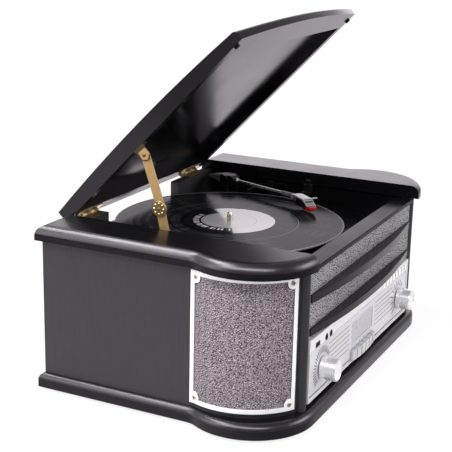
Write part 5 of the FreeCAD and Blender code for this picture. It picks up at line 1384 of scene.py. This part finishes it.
def soft_box(name, place, target, size, power, tint=(1, 1, 1)):
    """Large area lamp that the camera doesn't see."""
    data = bpy.data.lights.new(name, "AREA")
    data.shape = "RECTANGLE"
    data.size, data.size_y = size
    data.energy = power
    data.color = tint
    lamp = linked(bpy.data.objects.new(name, data))
    lamp.location = place
    lamp.rotation_euler = (Vector(target) - Vector(place)).to_track_quat("-Z", "Y").to_euler()
    lamp.visible_camera = False


def room_light(tree, values, kind, place, near, far):
    """Glow that is white to the camera, and in reflections a tinted room that is dark on one side."""
    side = vectors(tree, "DOT_PRODUCT", place, values.dark_side, result="Value")
    room = spread(tree, side, near, far, 1.0, values.dark_level)
    camera = node(tree, "LightPath").outputs["Is Camera Ray"]
    full_white = 1.06
    strength = maths(tree, "MAXIMUM", product(tree, camera, full_white), room)
    tones = {"A": (*values.room_tint, 1), "B": (1, 1, 1, 1), "Factor": camera}
    tint = node(tree, "Mix", tones, data_type="RGBA").outputs["Result"]
    return node(tree, kind, {"Strength": strength, "Color": tint})


def seen_directly(tree):
    """One where a ray is from the camera or a mirror-like bounce."""
    path = node(tree, "LightPath").outputs
    first = maths(tree, "MAXIMUM", path["Is Camera Ray"], path["Is Glossy Ray"])
    return maths(tree, "MAXIMUM", first, path["Is Transmission Ray"])


def mix_shader(tree, mask, plain, shown):
    """Mixes two shaders into the tree's own output."""
    end = next(n for n in tree.nodes if n.type in ("OUTPUT_WORLD", "OUTPUT_MATERIAL"))
    mix = node(tree, "MixShader", {"Fac": mask, 1: plain.outputs[0], 2: shown.outputs[0]})
    tree.links.new(mix.outputs["Shader"], end.inputs["Surface"])


def white_world(values):
    """World that is white to the camera, a room in reflections, and a plain level of light elsewhere."""
    world = bpy.data.worlds.new("studio")
    world.use_nodes = True
    tree = world.node_tree
    plain = tree.nodes["Background"]
    plain.inputs["Color"].default_value = (1, 1, 1, 1)
    plain.inputs["Strength"].default_value = values.world
    sky = node(tree, "TexCoord").outputs["Generated"]
    shown = room_light(tree, values, "Background", sky, -0.45, -0.2)
    mix_shader(tree, seen_directly(tree), plain, shown)
    bpy.context.scene.world = world


def pale_floor(values):
    """White floor that keeps a faint shadow near the player and fades to plain white farther out."""
    deselect()
    bpy.ops.mesh.primitive_plane_add(size=values.floor_size, location=(0, 0, 0))
    floor = settled(bpy.context.object, "floor")
    tree, shader = new_finish("floor white", (0.86, 0.86, 0.86), 0.9, Specular_IOR_Level=0.0)
    glow = room_light(tree, values, "Emission", own_place(tree), 0.16, 0.25)
    reach = vectors(tree, "LENGTH", own_place(tree), result="Value")
    plain = spread(tree, reach, values.shadow_reach / 2, values.shadow_reach, values.floor_glow, 1.0)
    mix_shader(tree, product(tree, seen_directly(tree), plain), shader, glow)
    floor.data.materials.append(finish("floor white"))


class PLAYER_OT_stage(bpy.types.Operator):
    """Sets the camera, the soft lights, the white world and the floor"""
    bl_idname = "player.stage"
    bl_label = "Stage"

    def execute(self, context):
        values = context.scene.player_stage
        data = bpy.data.cameras.new("camera")
        data.lens = values.lens
        data.sensor_width = 36.0
        data.shift_y = values.shift
        data.clip_end = 50.0
        camera = linked(bpy.data.objects.new("camera", data))
        aim = Matrix.Rotation(values.yaw, 3, "Z") @ Matrix.Rotation(math.pi / 2 - values.pitch, 3, "X")
        camera.rotation_euler = (aim @ Matrix.Rotation(values.roll, 3, "Z")).to_euler()
        camera.location = values.camera_place
        context.scene.camera = camera
        context.scene.view_settings.view_transform = "Standard"
        white_world(values)
        pale_floor(values)
        soft_box("top light", (-0.45, 0.72, 1.5), (-0.1, 0, 0.2), (1.2, 0.3), 22.0)
        soft_box("edge light", (-1.2, -0.2, 1.35), (-0.25, -0.1, 0.15), (2.2, 0.45), 30.0)
        soft_box("back light", (1.85, 0.55, 0.55), (0, 0, 0.3), (2.0, 0.7), 5.0, (1.0, 0.95, 0.99))
        soft_box("front light", (1.0, -1.9, 1.0), (0, 0, 0.15), (1.4, 1.0), 25.0)
        soft_box("side light", (-1.5, 1.3, 0.8), (-0.2, 0, 0.12), (1.2, 1.0), 10.0)
        return {"FINISHED"}


class PLAYER_PT_panel(bpy.types.Panel):
    """Lists the settings and the buttons of the steps"""
    bl_label = "Record Player"
    bl_idname = "PLAYER_PT_panel"
    bl_space_type = "VIEW_3D"
    bl_region_type = "UI"
    bl_category = "Record Player"

    def draw(self, context):
        layout = self.layout
        for group in SETTINGS.values():
            values = getattr(context.scene, group)
            for name in values.bl_rna.properties.keys():
                if name not in ("rna_type", "name"):
                    layout.prop(values, name)
        for operator in OPERATORS:
            layout.operator(operator.bl_idname)


SETTINGS = {
    CabinetFinish: "player_cabinet",
    LidSizes: "player_lid",
    MetalFinish: "player_metal",
    PlateSizes: "player_plate",
    DeckFinish: "player_deck",
    ArmSizes: "player_arm",
    StageSettings: "player_stage",
}
OPERATORS = (
    PLAYER_OT_finishes,
    PLAYER_OT_cabinet,
    PLAYER_OT_lid,
    PLAYER_OT_grilles,
    PLAYER_OT_front,
    PLAYER_OT_deck,
    PLAYER_OT_arm,
    PLAYER_OT_back,
    PLAYER_OT_stage,
)
CLASSES = (*SETTINGS, *OPERATORS, PLAYER_PT_panel)


def register():
    for made in CLASSES:
        bpy.utils.register_class(made)
    for group, name in SETTINGS.items():
        setattr(bpy.types.Scene, name, PointerProperty(type=group))


def unregister():
    for name in SETTINGS.values():
        delattr(bpy.types.Scene, name)
    for made in reversed(CLASSES):
        bpy.utils.unregister_class(made)


def main():
    register()
    for operator in OPERATORS:
        family, name = operator.bl_idname.split(".")
        getattr(getattr(bpy.ops, family), name)()


if __name__ == "__main__":
    main()
